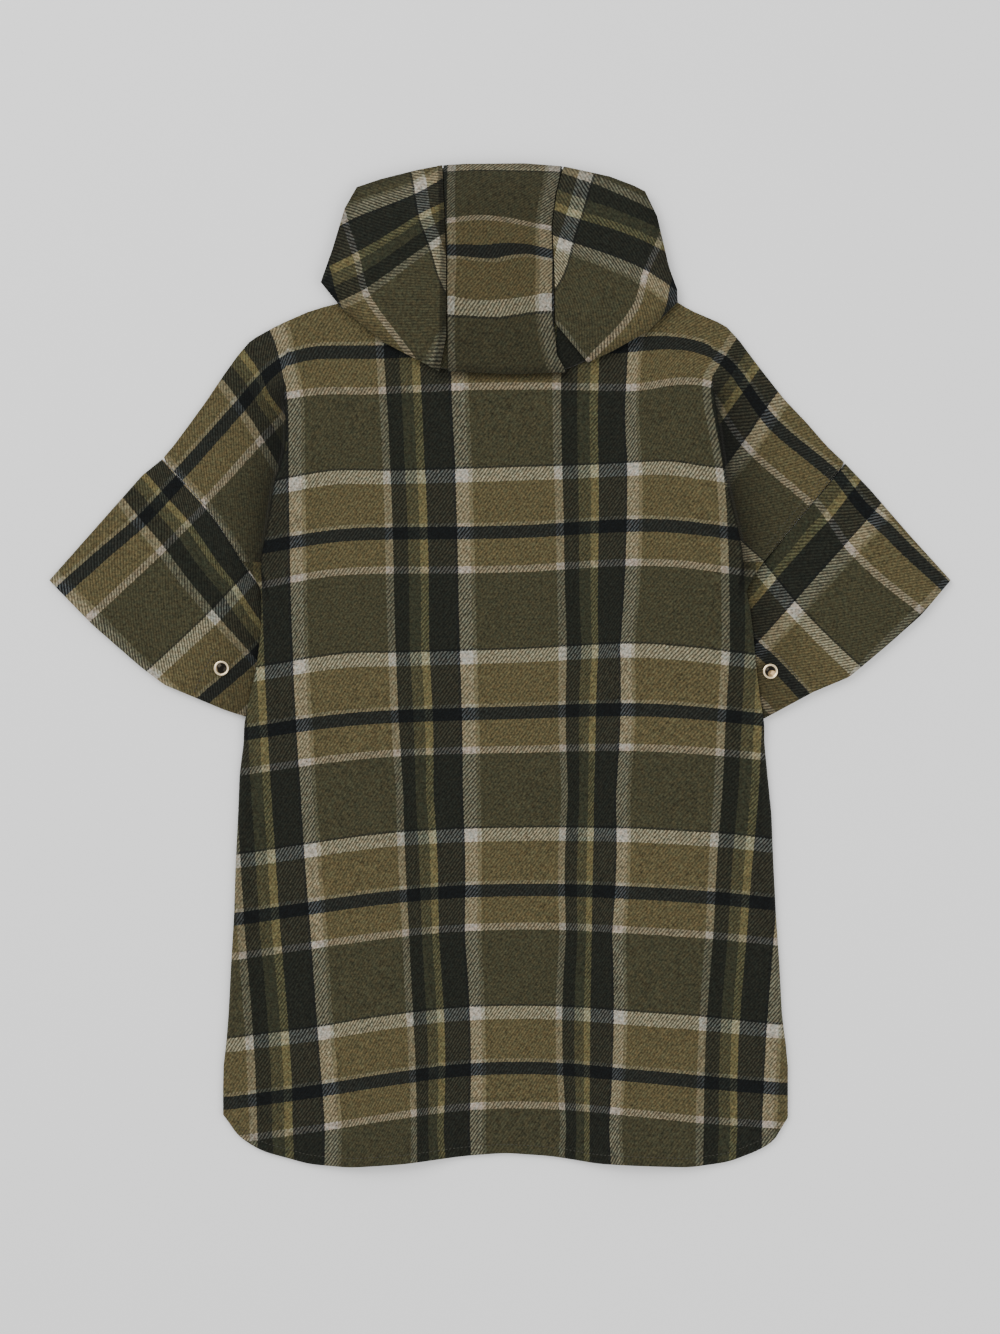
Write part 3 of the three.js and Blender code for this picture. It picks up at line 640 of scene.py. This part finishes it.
SLEEVE_EDGES = {
    "sleeve_left": {
        "seam": [(-338.1, 295), (-314.6, 320.5), (-294.6, 342.4), (-255.9, 399.4), (-226, 425)],
        "shoulder": [(-338.1, 295), (-358, 311), (-451, 416)],
        "cuff": [(-451, 416), (-407, 461), (-359, 503), (-335, 521), (-275, 546), (-244, 556)],
        "underarm": [(-226, 425), (-223, 470), (-230, 512), (-244, 556)],
    },
    "sleeve_right": {
        "seam": [(345.6, 299.4), (299.5, 355.4), (263, 399.4), (233, 425)],
        "shoulder": [(345.6, 299.4), (371, 326), (410, 371), (451, 416)],
        "cuff": [(451, 416), (421, 451), (385, 483), (349, 513), (313, 528), (265, 554), (252, 560)],
        "underarm": [(233, 425), (236, 470), (243, 515), (252, 560)],
    },
}

LEFT_SLEEVE_WARPS = [
    {"warp": -165, "through": [(-337, 294), (-314, 320), (-294, 342), (-249.3, 408)]},
    {"warp": -201, "through": [(-353, 315), (-333.5, 337.6), (-313, 360),
        (-297, 382.5), (-266, 422.5)]},
    {"warp": -236, "through": [(-378.4, 340), (-362, 360), (-338.5, 388),
        (-317, 417), (-288, 452.5), (-254, 489.5)]},
    {"warp": -331, "through": [(-448, 416), (-402, 461), (-357, 506), (-340, 520)]},
]
LEFT_SLEEVE_WEFTS = [
    {"weft": -118.5, "through": [(-327.3, 323.3), (-356, 354), (-397.5, 390), (-437.6, 425.5)]},
    {"weft": -81.5, "through": [(-305, 352), (-313, 360), (-339.6, 386.6), (-409, 451.5)]},
    {"weft": 6.5, "through": [(-248, 413), (-264, 429.5), (-284, 451), (-345, 508.5)]},
    {"weft": 63.5, "through": [(-250.5, 496), (-293.5, 533)]},
]
RIGHT_SLEEVE_WARPS = [
    {"warp": 625, "through": [(345, 305), (302, 352), (269.8, 394.8), (250, 419)]},
    {"warp": 639, "through": [(343, 331.5), (327, 352), (302.4, 378.4), (276, 409)]},
    {"warp": 680, "through": [(355, 381), (331, 408), (304, 438.5)]},
    {"warp": 775, "through": [(447, 421), (421, 447), (399, 468), (366, 501)]},
]
RIGHT_SLEEVE_WEFTS = [
    {"weft": -118.5, "through": [(361.6, 341.7), (384, 362), (445, 421)]},
    {"weft": -81.5, "through": [(327, 350), (347, 380), (380, 413), (420.8, 445.8)]},
    {"weft": 6.5, "through": [(271.8, 419), (294, 445.8), (322.9, 476), (355.5, 507)]},
    {"weft": 63.5, "through": [(255.5, 482.5), (271.8, 496.8), (302.4, 529.5)]},
]


def edge_length(edge):
    points = np.array(edge, float)
    return np.hypot(*np.diff(points, axis=0).T).sum()


def edge_place(edge, share):
    """Places at shares of an edge's length."""
    points = np.array(edge, float)
    run = np.concatenate([[0], np.cumsum(np.hypot(*np.diff(points, axis=0).T))])
    reach = np.asarray(share, float) * run[-1]
    return np.column_stack([np.interp(reach, run, points[:, 0]), np.interp(reach, run, points[:, 1])])


def patch_place(patch, across, along):
    """Places of the patch that four edges bound: across from start to end, along first to last."""
    across, along = np.atleast_1d(across).astype(float), np.atleast_1d(along).astype(float)
    a, b = across[:, None], along[:, None]

    def corner(edge, share):
        return edge_place(edge, [share])

    straight = (corner(patch["start"], 0) * (1 - a) * (1 - b) + corner(patch["end"], 0) * a * (1 - b)
                + corner(patch["start"], 1) * (1 - a) * b + corner(patch["end"], 1) * a * b)
    return (edge_place(patch["start"], along) * (1 - a) + edge_place(patch["end"], along) * a
            + edge_place(patch["first"], across) * (1 - b) + edge_place(patch["last"], across) * b
            - straight)


def sleeve_patch(edges):
    return {"start": edges["seam"], "end": edges["cuff"],
            "first": edges["shoulder"], "last": edges["underarm"]}


def sleeve_height(patch, across, along):
    from_fold = np.minimum(along, 1 - along) * edge_length(patch["end"])
    arch = np.sin(np.pi / 2 * np.minimum(from_fold / SLEEVE_PUFF_WIDTH, 1))
    return SLEEVE_TOP + SLEEVE_PUFF * across * arch


def sleeve_shape(patch):
    width = edge_length(patch["end"])
    radius = SLEEVE_TOP / 2
    inset = radius / width
    turns = [0, 0.45, 0.5, 0.95, 1]

    def shape(around, out):
        round_under = np.clip((around - turns[1]) / (turns[2] - turns[1]), 0, 1) * np.pi
        round_top = np.clip((around - turns[3]) / (turns[4] - turns[3]), 0, 1) * np.pi
        upper = np.clip(around / turns[1], 0, 1)
        lower = np.clip((around - turns[2]) / (turns[3] - turns[2]), 0, 1)
        on_top = around <= turns[1]
        at_underarm = (around > turns[1]) & (around < turns[2])
        below = (around >= turns[2]) & (around <= turns[3])
        along = np.where(on_top, inset + (1 - 2 * inset) * upper, 0)
        along = np.where(at_underarm, 1 - inset + inset * np.sin(round_under), along)
        along = np.where(below, 1 - inset - (1 - 2 * inset) * lower, along)
        along = np.where(around > turns[3], inset - inset * np.sin(round_top), along)
        place = patch_place(patch, out, along)
        height = np.where(on_top, sleeve_height(patch, out, along), 0)
        height = np.where(at_underarm, radius * (1 + np.cos(round_under)), height)
        height = np.where(around > turns[3], radius * (1 - np.cos(round_top)), height)
        # painted shade where the sleeve runs in under the body's edge, strongest near the underarm
        under_body = smooth((along - 0.62) / 0.38) * smooth(1 - out * 0.25)
        return place[:, 0], place[:, 1], height, UNDERARM_SHADE * under_body * on_top

    return shape


sleeves = {}
for side, warps, wefts in (("left", LEFT_SLEEVE_WARPS, LEFT_SLEEVE_WEFTS),
                           ("right", RIGHT_SLEEVE_WARPS, RIGHT_SLEEVE_WEFTS)):
    patch = sleeve_patch(SLEEVE_EDGES[f"sleeve_{side}"])
    sleeve = walled(cloth_piece(f"sleeve_tube_{side}", SLEEVE_COLUMNS, SLEEVE_ROWS, sleeve_shape(patch),
                                [check(warps, wefts)], tube=True))
    sleeve.data.materials.append(wool)
    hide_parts(f"sleeve_{side}")
    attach(sleeve, "root")
    sleeves[side] = sleeve


# The hood: a long centre strip and two side panels, sewn edge to edge. It lies folded down on the
# back, wider than it is deep, and rises from its outline to a low crown.
HOOD_RIM = 12
HOOD_CROWN = 13
HOOD_SLOPE = 0.5
HOOD_MIDDLE = (4, 98)
HOOD_SEAM_LEFT = [(-57, 2), (-53, 98), (-52, 208)]
HOOD_SEAM_RIGHT = [(62.7, 3), (55.5, 32), (51.4, 66), (53, 98), (54, 129), (54, 161)]
HOOD_EDGES = {
    "centreTop": [(-57, 2), (-35, 0.5), (25, 0), (62.7, 3)],
    "centreFlare": [(54, 161), (57, 192), (67, 209)],
    "centreBottom": [(67, 209), (10, 211), (-52, 208)],
    "leftTop": [(-57, 2), (-83, 7), (-119, 16), (-143, 24)],
    "leftOuter": [(-143, 24), (-155, 45), (-167, 85), (-179, 119)],
    "leftLower": [(-179, 119), (-157, 146), (-116, 179), (-70, 205), (-52, 208)],
    "rightTop": [(62.7, 3), (109, 13), (133, 22), (145, 28)],
    "rightOuter": [(145, 28), (157, 53), (169, 104), (177, 126), (177.5, 139)],
    "rightLower": [(177.5, 139), (148, 168), (112, 188), (87, 199.5)],
    "rightInner": [(87, 199.5), (72, 182), (54, 161)],
}

HOOD_CENTRE_WARPS = [
    {"warp": 104, "through": [(-52, 8), (-52, 98), (-52, 208)]},
    {"warp": 96, "through": [(-44, 8), (-43, 98), (-43, 208)]},
    {"warp": 16, "through": [(45, 8), (36, 58), (36, 98), (37, 165), (48, 208)]},
    {"warp": 0, "through": [(60, 6), (52, 58), (52, 98), (53, 165), (65, 209)]},
]
HOOD_CENTRE_WEFTS = [
    {"weft": 0, "through": [(-55, 9), (0, 7.5), (60, 9)]},
    {"weft": -81.5, "through": [(-47, 59), (-22, 56.5), (4, 58.5), (30, 63.5), (50, 67)]},
    {"weft": -118.5, "through": [(-47, 89), (-22, 90.6), (4, 88), (30, 88), (50, 92.6)]},
    {"weft": -128, "through": [(0, 100.5)]},
    {"weft": -169, "through": [(-47, 135), (0, 138), (50, 132)]},
    {"weft": -182, "through": [(-47, 153), (0, 155), (50, 149)]},
    {"weft": -245, "through": [(-47, 210), (0, 212), (50, 210)]},
]
HOOD_LEFT_WARPS = [
    {"warp": 8, "through": [(-146.4, 47), (-88, 27)]},
    {"warp": -33, "through": [(-144, 95.7), (-110, 76), (-77.6, 55)]},
    {"warp": -68, "through": [(-162, 144), (-134, 131.4), (-72.5, 88)]},
    {"warp": -160, "through": [(-67, 201), (-54, 174)]},
]
HOOD_LEFT_WEFTS = [
    {"weft": 6.5, "through": [(-80, 19), (-75, 52), (-62.2, 88), (-53.3, 118.7)]},
    {"weft": -81.5, "through": [(-154, 62.5), (-142.6, 98), (-134, 131.4),
        (-113.3, 162), (-88, 195)]},
    {"weft": -118.5, "through": [(-174, 114), (-169, 133)]},
]
HOOD_RIGHT_WARPS = [
    {"warp": -68, "through": [(96, 16.6), (152, 42)]},
    {"warp": -33, "through": [(60, 47), (83, 55), (157, 80.4)]},
    {"warp": 8, "through": [(73, 88), (144.4, 116), (167, 131)]},
    {"warp": 100, "through": [(57, 163), (72, 181), (86, 197)]},
]
HOOD_RIGHT_WEFTS = [
    {"weft": 6.5, "through": [(85.7, 11.5), (78, 39.6), (65, 80.4), (57.7, 108.4)]},
    {"weft": -81.5, "through": [(157, 85.5), (144.4, 113.6), (139.3, 136.5),
        (116.3, 169.7), (90, 196)]},
    {"weft": -118.5, "through": [(175, 126), (174, 136)]},
]


def joined(*edges):
    points = []
    for edge in edges:
        for point in edge:
            if not points or math.dist(point, points[-1]) > 0.01:
                points.append(point)
    return points


def hood_outline(notch):
    edges = HOOD_EDGES
    return joined(edges["centreTop"], edges["rightTop"], edges["rightOuter"], edges["rightLower"], notch,
                  edges["centreBottom"][1:], edges["leftLower"][::-1], edges["leftOuter"][::-1],
                  edges["leftTop"][::-1])


def share_of_outline(x, down):
    """Where a place lies on the way from the hood's middle, 0, to its outline, 1."""
    outline = np.array(hood_outline(HOOD_EDGES["centreBottom"][:1]))
    ray = np.column_stack([x, down]) - HOOD_MIDDLE
    share = np.zeros(len(ray))
    for first, second in zip(outline[:-1], outline[1:]):
        side, start = second - first, first - HOOD_MIDDLE
        crossing = ray[:, 0] * side[1] - ray[:, 1] * side[0]
        crossing = np.where(np.abs(crossing) < 1e-9, 1e-9, crossing)
        along_side = (start[0] * ray[:, 1] - start[1] * ray[:, 0]) / crossing
        along_ray = (start[0] * side[1] - start[1] * side[0]) / crossing
        hit = (along_ray > 0) & (along_side > -1e-6) & (along_side < 1 + 1e-6)
        share = np.where(hit, np.maximum(share, 1 / np.where(hit, along_ray, 1)), share)
    return np.minimum(share, 1)


def hood_height(x, down):
    rise = np.minimum((1 - share_of_outline(x, down)) / HOOD_SLOPE, 1)
    return HOOD_RIM + HOOD_CROWN * np.sin(np.pi / 2 * rise)


HOOD_SEAM_DIP, HOOD_SEAM_DIP_WIDTH = 1.5, 2.5
HOOD_SEAM_RIDGE, HOOD_SEAM_RIDGE_PLACE, HOOD_SEAM_RIDGE_WIDTH = 0.5, 7, 4
HOOD_WELT, HOOD_WELT_RISE, HOOD_WELT_STEP = 7.5, 0.9, 1.5      # the turning beside the left seam
# painted shade on the turning beside the left seam
HOOD_WELT_SHADE = 0.66
# painted shade where the hood rolls down at its rim
HOOD_EDGE_SHADE, HOOD_EDGE_START = 0.3, 0.9                    # where the hood rolls down at its rim


def hood_panel_shape(panel):
    width = 0.5 * (edge_length(panel["first"]) + edge_length(panel["last"]))

    def bump(distance, place, spread):
        return np.exp(-((distance - place) / spread) ** 2)

    def shape(across, along):
        place = patch_place(panel, across, along)
        x, down = place[:, 0], place[:, 1]
        height = hood_height(x, down)
        for seam in panel["seams"]:
            from_seam = np.abs(across - seam) * width
            height = height - HOOD_SEAM_DIP * bump(from_seam, 0, HOOD_SEAM_DIP_WIDTH)
            height = height + HOOD_SEAM_RIDGE * bump(from_seam, HOOD_SEAM_RIDGE_PLACE, HOOD_SEAM_RIDGE_WIDTH)
        # painted shade: the centre panel's tone, the rim where the hood rolls down and the turning beside
        # the left seam
        rolled = smooth((share_of_outline(x, down) - HOOD_EDGE_START) / (1 - HOOD_EDGE_START))
        fold = panel["tone"] + HOOD_EDGE_SHADE * rolled
        if panel["welt"]:
            from_seam = (1 - across) * width
            on_welt = smooth((HOOD_WELT - from_seam) / HOOD_WELT_STEP)
            step_down = bump(from_seam, HOOD_WELT + HOOD_WELT_STEP, HOOD_WELT_STEP)
            height = height + HOOD_WELT_RISE * on_welt - step_down
            fold = np.maximum(fold, HOOD_WELT_SHADE * on_welt)
        from_seam = across if panel["shift"] < 0 else 1 - across
        return x + panel["shift"] * from_seam, down, height, fold

    return shape


# "seams" are the sewn sides of a panel, 0 for its start and 1 for its end, and "tone" is how much painted
# shade darkens its colour.
HOOD_PANELS = {
    "hood_centre": {
        "start": HOOD_SEAM_LEFT,
        "end": joined(HOOD_SEAM_RIGHT, HOOD_EDGES["centreFlare"]),
        "first": HOOD_EDGES["centreTop"],
        "last": HOOD_EDGES["centreBottom"][::-1],
        "shift": 0, "seams": (0, 1), "welt": False, "tone": 0.24, "columns": 40,
        "flat": (0.125, 0.24), "area": 0.027,
        "check": check(HOOD_CENTRE_WARPS, HOOD_CENTRE_WEFTS),
    },
    "hood_left": {
        "start": HOOD_EDGES["leftOuter"],
        "end": HOOD_SEAM_LEFT[:2] + [(-53, 174), (-60, 208)],
        "first": HOOD_EDGES["leftTop"][::-1],
        "last": HOOD_EDGES["leftLower"][:3] + [(-60, 208)],
        "shift": -1.5 * SEAM_GAP, "seams": (1,), "welt": True, "tone": 0, "columns": 66,
        "flat": (0.14, 0.21), "area": 0.021,
        "check": check(HOOD_LEFT_WARPS, HOOD_LEFT_WEFTS),
    },
    "hood_right": {
        "start": joined(HOOD_SEAM_RIGHT, HOOD_EDGES["rightInner"][::-1]),
        "end": HOOD_EDGES["rightOuter"],
        "first": HOOD_EDGES["rightTop"],
        "last": HOOD_EDGES["rightLower"][::-1],
        "shift": 1.5 * SEAM_GAP, "seams": (0,), "welt": False, "tone": 0, "columns": 44,
        "flat": (0.14, 0.21), "area": 0.021,
        "check": check(HOOD_RIGHT_WARPS, HOOD_RIGHT_WEFTS),
    },
}
HOOD_ROWS = 72

for name, panel in HOOD_PANELS.items():
    piece = walled(cloth_piece(f"{name}_panel", panel["columns"], HOOD_ROWS, hood_panel_shape(panel),
                               [panel["check"]]))
    piece.data.materials.append(wool)
    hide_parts(name)
    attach(piece, "root")


# The hood's hidden layers: the neck part and the layer folded under the panels, in one rounded
# piece with the edges of its layers showing round it.
HOOD_INNER_NOTCH = [(87, 199.5), (70, 207), (60, 209)]
HOOD_LAYERS = {
    "height": [0, 0.4, 1.1, 2.6, 3.2, 3.8, 5.6, 6.2, 6.8],
    "share": [0.94, 0.965, 0.98, 0.98, 0.945, 0.98, 0.98, 0.945, 0.98],
}
HOOD_DOME_SHARES = [0.965, 0.93, 0.9, 0.84, 0.78, 0.71, 0.64, 0.55, 0.45, 0.34, 0.22, 0.1]
HOOD_LAYER_GAP = 2.2      # between the panels' wall and the layers under it
# painted shade: the hidden layers' colour is darkened evenly, as they lie under the hood's panels
LAYER_SHADE = 0.25
NECK_LINE = 137.4
LAYERS_ON_BACK = 0.38     # the layers are pressed together where they lie on the back
LAYER_CHECK_SHIFT = (41, 75)    # warp and weft: a dark band shows in the notch between two panels


def layer_check(x, down):
    return body_check(x, down) + LAYER_CHECK_SHIFT


def inner_shape(around, up):
    outline = hood_outline(HOOD_INNER_NOTCH)
    rim = edge_place(outline + outline[:1], around)
    rings = [0.001] + HOOD_LAYERS["share"] + HOOD_DOME_SHARES + [0.001]
    steps = np.linspace(0, 1, len(rings))
    share = np.interp(up, steps, rings)[:, None]
    place = np.array(HOOD_MIDDLE) * (1 - share) + rim * share
    x, down = place[:, 0], place[:, 1]
    dome = hood_height(x, down) - CLOTH - HOOD_LAYER_GAP
    layers = len(HOOD_LAYERS["height"])
    wall = np.interp(up * (len(rings) - 1), np.arange(layers + 1), [0] + HOOD_LAYERS["height"])
    wall = np.where(down > NECK_LINE, BACK_TOP + SEAM_GAP + LAYERS_ON_BACK * wall, wall)
    height = np.where(up * (len(rings) - 1) > layers + 0.01, dome, wall)
    return x, down, height, LAYER_SHADE


hood_inner = cloth_piece("hood_inner_layers", 150, len(HOOD_LAYERS["height"]) + len(HOOD_DOME_SHARES) + 1,
                         inner_shape, [layer_check], tube=True)
hood_inner.data.materials.append(wool)
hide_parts("hood_inner")
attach(hood_inner, "root")


# The topstitching: matching olive thread round the hem and beside both sleeve seams, and dark
# thread round the small patch that backs each snap.
STITCH_LENGTH = 3.0
STITCH_PITCH = 3.9
THREAD = 0.28


def back_height(x, down):
    """Height of the back's face at a place on it."""
    flat = np.array(down, float)
    for _ in range(12):
        flat = flat + (down - bent_to_hem(x, flat))
    return BACK_TOP + back_rise(x, flat)[0]


def sleeve_face(patch, x, down):
    """Height of a sleeve's upper face at places on it."""
    steps = np.linspace(0, 1, 60)
    across, along = (grid.ravel() for grid in np.meshgrid(steps, steps))
    places, heights = patch_place(patch, across, along), sleeve_height(patch, across, along)
    near = [np.argmin(((places - at) ** 2).sum(1)) for at in np.column_stack([x, down])]
    return heights[near]


def beside(edge, inward, first=0.0, last=1.0, count=60):
    """A line that runs beside an edge, inward mm to its right as it is followed."""
    share = np.linspace(first, last, count)
    place = edge_place(edge, share)
    way = np.gradient(place, axis=0)
    way = way / np.linalg.norm(way, axis=1)[:, None]
    return place + inward * np.column_stack([-way[:, 1], way[:, 0]])


def stitched(name, runs, material):
    """Rows of stitches along runs, each a list of x, down and height."""
    sewing = bmesh.new()
    for run in runs:
        points = np.array(run, float)
        steps = np.concatenate([[0], np.cumsum(np.linalg.norm(np.diff(points, axis=0), axis=1))])
        for middle in np.arange(STITCH_PITCH / 2, steps[-1], STITCH_PITCH):
            ends = []
            for reach in (middle - STITCH_LENGTH / 2, middle + STITCH_LENGTH / 2):
                x, down, height = (np.interp(reach, steps, points[:, k]) for k in range(3))
                ends.append(Vector((x, LENGTH / 2 - down, height)) / 1000)
            along = ends[1] - ends[0]
            turn = along.to_track_quat("X", "Z").to_matrix().to_4x4()
            size = Matrix.Diagonal((along.length / 2, THREAD / 1000 * 1.4, THREAD / 1000, 1))
            place = Matrix.Translation((ends[0] + ends[1]) / 2) @ turn @ size
            bmesh.ops.create_uvsphere(sewing, u_segments=6, v_segments=4, radius=1, matrix=place)
    for face in sewing.faces:
        face.smooth = True
    mesh = bpy.data.meshes.new(name)
    sewing.to_mesh(mesh)
    sewing.free()
    piece = bpy.data.objects.new(name, mesh)
    bpy.context.scene.collection.objects.link(piece)
    piece.data.materials.append(material)
    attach(piece, "root")
    return piece


def thread(name, colour):
    """Spun polyester: two plies that turn round each other."""
    material, start = new_material(name)
    whole = start.node("ShaderNodeTexCoord", output="Object")
    ply = whole.noise(2500, 1.0)
    shade = start.node("ShaderNodeMix", {"data_type": "RGBA"},
                       {0: ply, 6: (*colour, 1), 7: (*[part * 1.5 for part in colour], 1)}, 2)
    surface = start.node("ShaderNodeBsdfPrincipled", None, {"Base Color": shade, "Roughness": 0.6})
    start.node("ShaderNodeOutputMaterial", None, {"Surface": surface})
    return material


def on_back(line, sunk=0.1):
    return np.column_stack([line, back_height(line[:, 0], line[:, 1]) - sunk])


def on_sleeve(side, points):
    line = edge_place(points, np.linspace(0, 1, 40))
    patch = sleeve_patch(SLEEVE_EDGES[f"sleeve_{side}"])
    return np.column_stack([line, sleeve_face(patch, line[:, 0], line[:, 1])])


# Dark sewing on the cuffs, round the patch behind each snap
PATCH_SEWING = {
    "left": [(-281, 486), (-286.3, 489), (-293, 501), (-306.7, 530.4)],
    "right": [(269, 488), (279, 490), (308.6, 529)],
}

olive_thread = thread("olive_thread", (0.019, 0.018, 0.011))
dark_thread = thread("dark_thread", (0.008, 0.007, 0.006))
hem_x = np.linspace(-262, 274, 220)
hem_run = on_back(np.column_stack([hem_x, hem_line(hem_x) - HEM_STITCH]), 0.05)
stitched("hem_stitching", [hem_run], olive_thread)
seam_left = SLEEVE_EDGES["sleeve_left"]["seam"]
seam_right = SLEEVE_EDGES["sleeve_right"]["seam"]
stitched("sleeve_seam_stitching", [
    on_back(beside(seam_left, -4.5, 0.03, 0.70)),
    on_back(beside(seam_right, 2.5, 0.03, 0.72)),
    on_back(beside(seam_right, 9.0, 0.05, 0.68)),
], olive_thread)
stitched("patch_stitching", [on_sleeve(side, points) for side, points in PATCH_SEWING.items()], dark_thread)


# The snaps: a gold-tone ring cap at the underarm end of each cuff, with a polished rolled rim round
# a low mirror-bright dome, pressed through the cloth.
SNAPS = {
    "snap_left": {"sleeve": "sleeve_left", "across": 0.745, "along": 0.795},
    "snap_right": {"sleeve": "sleeve_right", "across": 0.715, "along": 0.87},
}
SNAP_RADIUS = 7.8
# the disc inside the ring takes a painted dark reflection with painted glints
SNAP_INSIDE = 0.67        # share of the radius where the ring ends and the darkened disc begins
SNAP_SECTION = [
    {"share": 0.001, "height": 0}, {"share": 0.92, "height": 0}, {"share": 0.98, "height": 0.35},
    {"share": 1.0, "height": 0.9}, {"share": 0.99, "height": 1.6}, {"share": 0.95, "height": 2.2},
    {"share": 0.88, "height": 2.55}, {"share": 0.81, "height": 2.6}, {"share": 0.75, "height": 2.4},
    {"share": 0.69, "height": 1.85}, {"share": 0.66, "height": 1.6}, {"share": 0.61, "height": 1.6},
    {"share": 0.56, "height": 1.8}, {"share": 0.45, "height": 2.25}, {"share": 0.28, "height": 2.6},
    {"share": 0.12, "height": 2.7}, {"share": 0.001, "height": 2.72},
]


def gold_tone():
    """Polished pale gold plating on brass, with fine hairline wear, and a painted dark reflection with
    painted glints on the dome inside the ring.
    """
    material, start = new_material("gold_tone")
    whole = start.node("ShaderNodeTexCoord", output="Object")
    wear = whole.noise(900, 3.0)
    shade = start.node("ShaderNodeMix", {"data_type": "RGBA"},
                       {0: wear, 6: (0.90, 0.70, 0.40, 1), 7: (0.98, 0.85, 0.60, 1)}, 2)
    inside = start.node("ShaderNodeAttribute", {"attribute_name": "inside"}, output="Fac")
    # painted reflection: the dome inside the ring is painted near black, as a dark reflection, with painted
    # glints of gold
    painted_glint = ((whole.noise(140, 0.0) - 0.47) * 9).math("MAXIMUM", 0).math("MINIMUM", 1)
    sunk = start.node("ShaderNodeMix", {"data_type": "RGBA"},
                      {0: painted_glint, 6: (0.020, 0.017, 0.013, 1), 7: (0.36, 0.25, 0.13, 1)}, 2)
    surface = start.node("ShaderNodeBsdfPrincipled", None, {
        "Base Color": shade.mixed(sunk, inside), "Metallic": 1.0, "Roughness": wear * 0.10 + 0.06})
    start.node("ShaderNodeOutputMaterial", None, {"Surface": surface})
    return material


gold = gold_tone()
for name, snap in SNAPS.items():
    patch = sleeve_patch(SLEEVE_EDGES[snap["sleeve"]])
    x, down = patch_place(patch, snap["across"], snap["along"])[0]
    base = sleeve_height(patch, np.array([snap["across"]]), np.array([snap["along"]]))[0] + SEAM_GAP
    cap = bmesh.new()
    section = []
    for row in SNAP_SECTION:
        section.append(cap.verts.new((row["share"] * SNAP_RADIUS / 1000, 0, row["height"] / 1000)))
    edges = [cap.edges.new(pair) for pair in zip(section[:-1], section[1:])]
    bmesh.ops.spin(cap, geom=section + edges, cent=(0, 0, 0), axis=(0, 0, 1), angle=2 * math.pi,
                   steps=56, use_merge=True)
    bmesh.ops.remove_doubles(cap, verts=cap.verts, dist=2e-5)
    bmesh.ops.recalc_face_normals(cap, faces=cap.faces)
    # marks the dome inside the ring for its painted dark reflection
    inside = cap.verts.layers.float.new("inside")
    for vert in cap.verts:
        share = math.hypot(vert.co.x, vert.co.y) * 1000 / SNAP_RADIUS
        vert[inside] = 1.0 if share < SNAP_INSIDE else 0.0
    bmesh.ops.translate(cap, verts=cap.verts, vec=Vector((x, LENGTH / 2 - down, base)) / 1000)
    for face in cap.faces:
        face.smooth = True
    mesh = bpy.data.meshes.new(f"{name}_cap")
    cap.to_mesh(mesh)
    cap.free()
    piece = bpy.data.objects.new(f"{name}_cap", mesh)
    bpy.context.scene.collection.objects.link(piece)
    piece.data.materials.append(gold)
    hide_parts(name)
    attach(piece, "root")


# The floor, soft studio light and a camera straight above, as the cape was photographed.
CAMERA_HEIGHT = 3.155
STUDIO_STRENGTH = 0.94
FLOOR_DROP = 0.0004       # keeps the cloth's underside clear of the floor

floor_mesh = bpy.data.meshes.new("floor")
sweep = bmesh.new()
bmesh.ops.create_grid(sweep, x_segments=1, y_segments=1, size=6)
bmesh.ops.translate(sweep, verts=sweep.verts, vec=(0, 0, -FLOOR_DROP))
sweep.to_mesh(floor_mesh)
sweep.free()
floor = bpy.data.objects.new("floor", floor_mesh)
bpy.context.scene.collection.objects.link(floor)
floor_material, start = new_material("pale_floor")
grain = start.node("ShaderNodeTexCoord", output="Object").noise(6, 2.0)
floor_colour = start.node("ShaderNodeMix", {"data_type": "RGBA"},
                          {0: grain, 6: (0.86, 0.86, 0.86, 1), 7: (0.88, 0.88, 0.88, 1)}, 2)
floor_surface = start.node("ShaderNodeBsdfPrincipled", None,
                           {"Base Color": floor_colour, "Roughness": 0.9, "Specular IOR Level": 0.1})
start.node("ShaderNodeOutputMaterial", None, {"Surface": floor_surface})
floor.data.materials.append(floor_material)

world = bpy.data.worlds.new("studio")
bpy.context.scene.world = world
world.use_nodes = True
background = world.node_tree.nodes["Background"]
background.inputs["Color"].default_value = (1, 1, 1, 1)
background.inputs["Strength"].default_value = STUDIO_STRENGTH

LIGHTS = [
    {"name": "soft_key", "place": (-1.6, 1.6, 2.6), "size": 2.2, "power": 74},
    {"name": "soft_fill", "place": (1.8, -0.8, 2.6), "size": 2.6, "power": 38},
]
for light in LIGHTS:
    lamp = bpy.data.lights.new(light["name"], "AREA")
    lamp.size = light["size"]
    lamp.energy = light["power"]
    stand = bpy.data.objects.new(light["name"], lamp)
    stand.location = light["place"]
    stand.rotation_euler = (-Vector(light["place"])).to_track_quat("-Z", "Y").to_euler()
    bpy.context.scene.collection.objects.link(stand)

lens = bpy.data.cameras.new("camera")
lens.lens = 85
lens.sensor_width = 36
camera = bpy.data.objects.new("camera", lens)
camera.location = (0, -0.0015, CAMERA_HEIGHT)
bpy.context.scene.collection.objects.link(camera)
bpy.context.scene.camera = camera
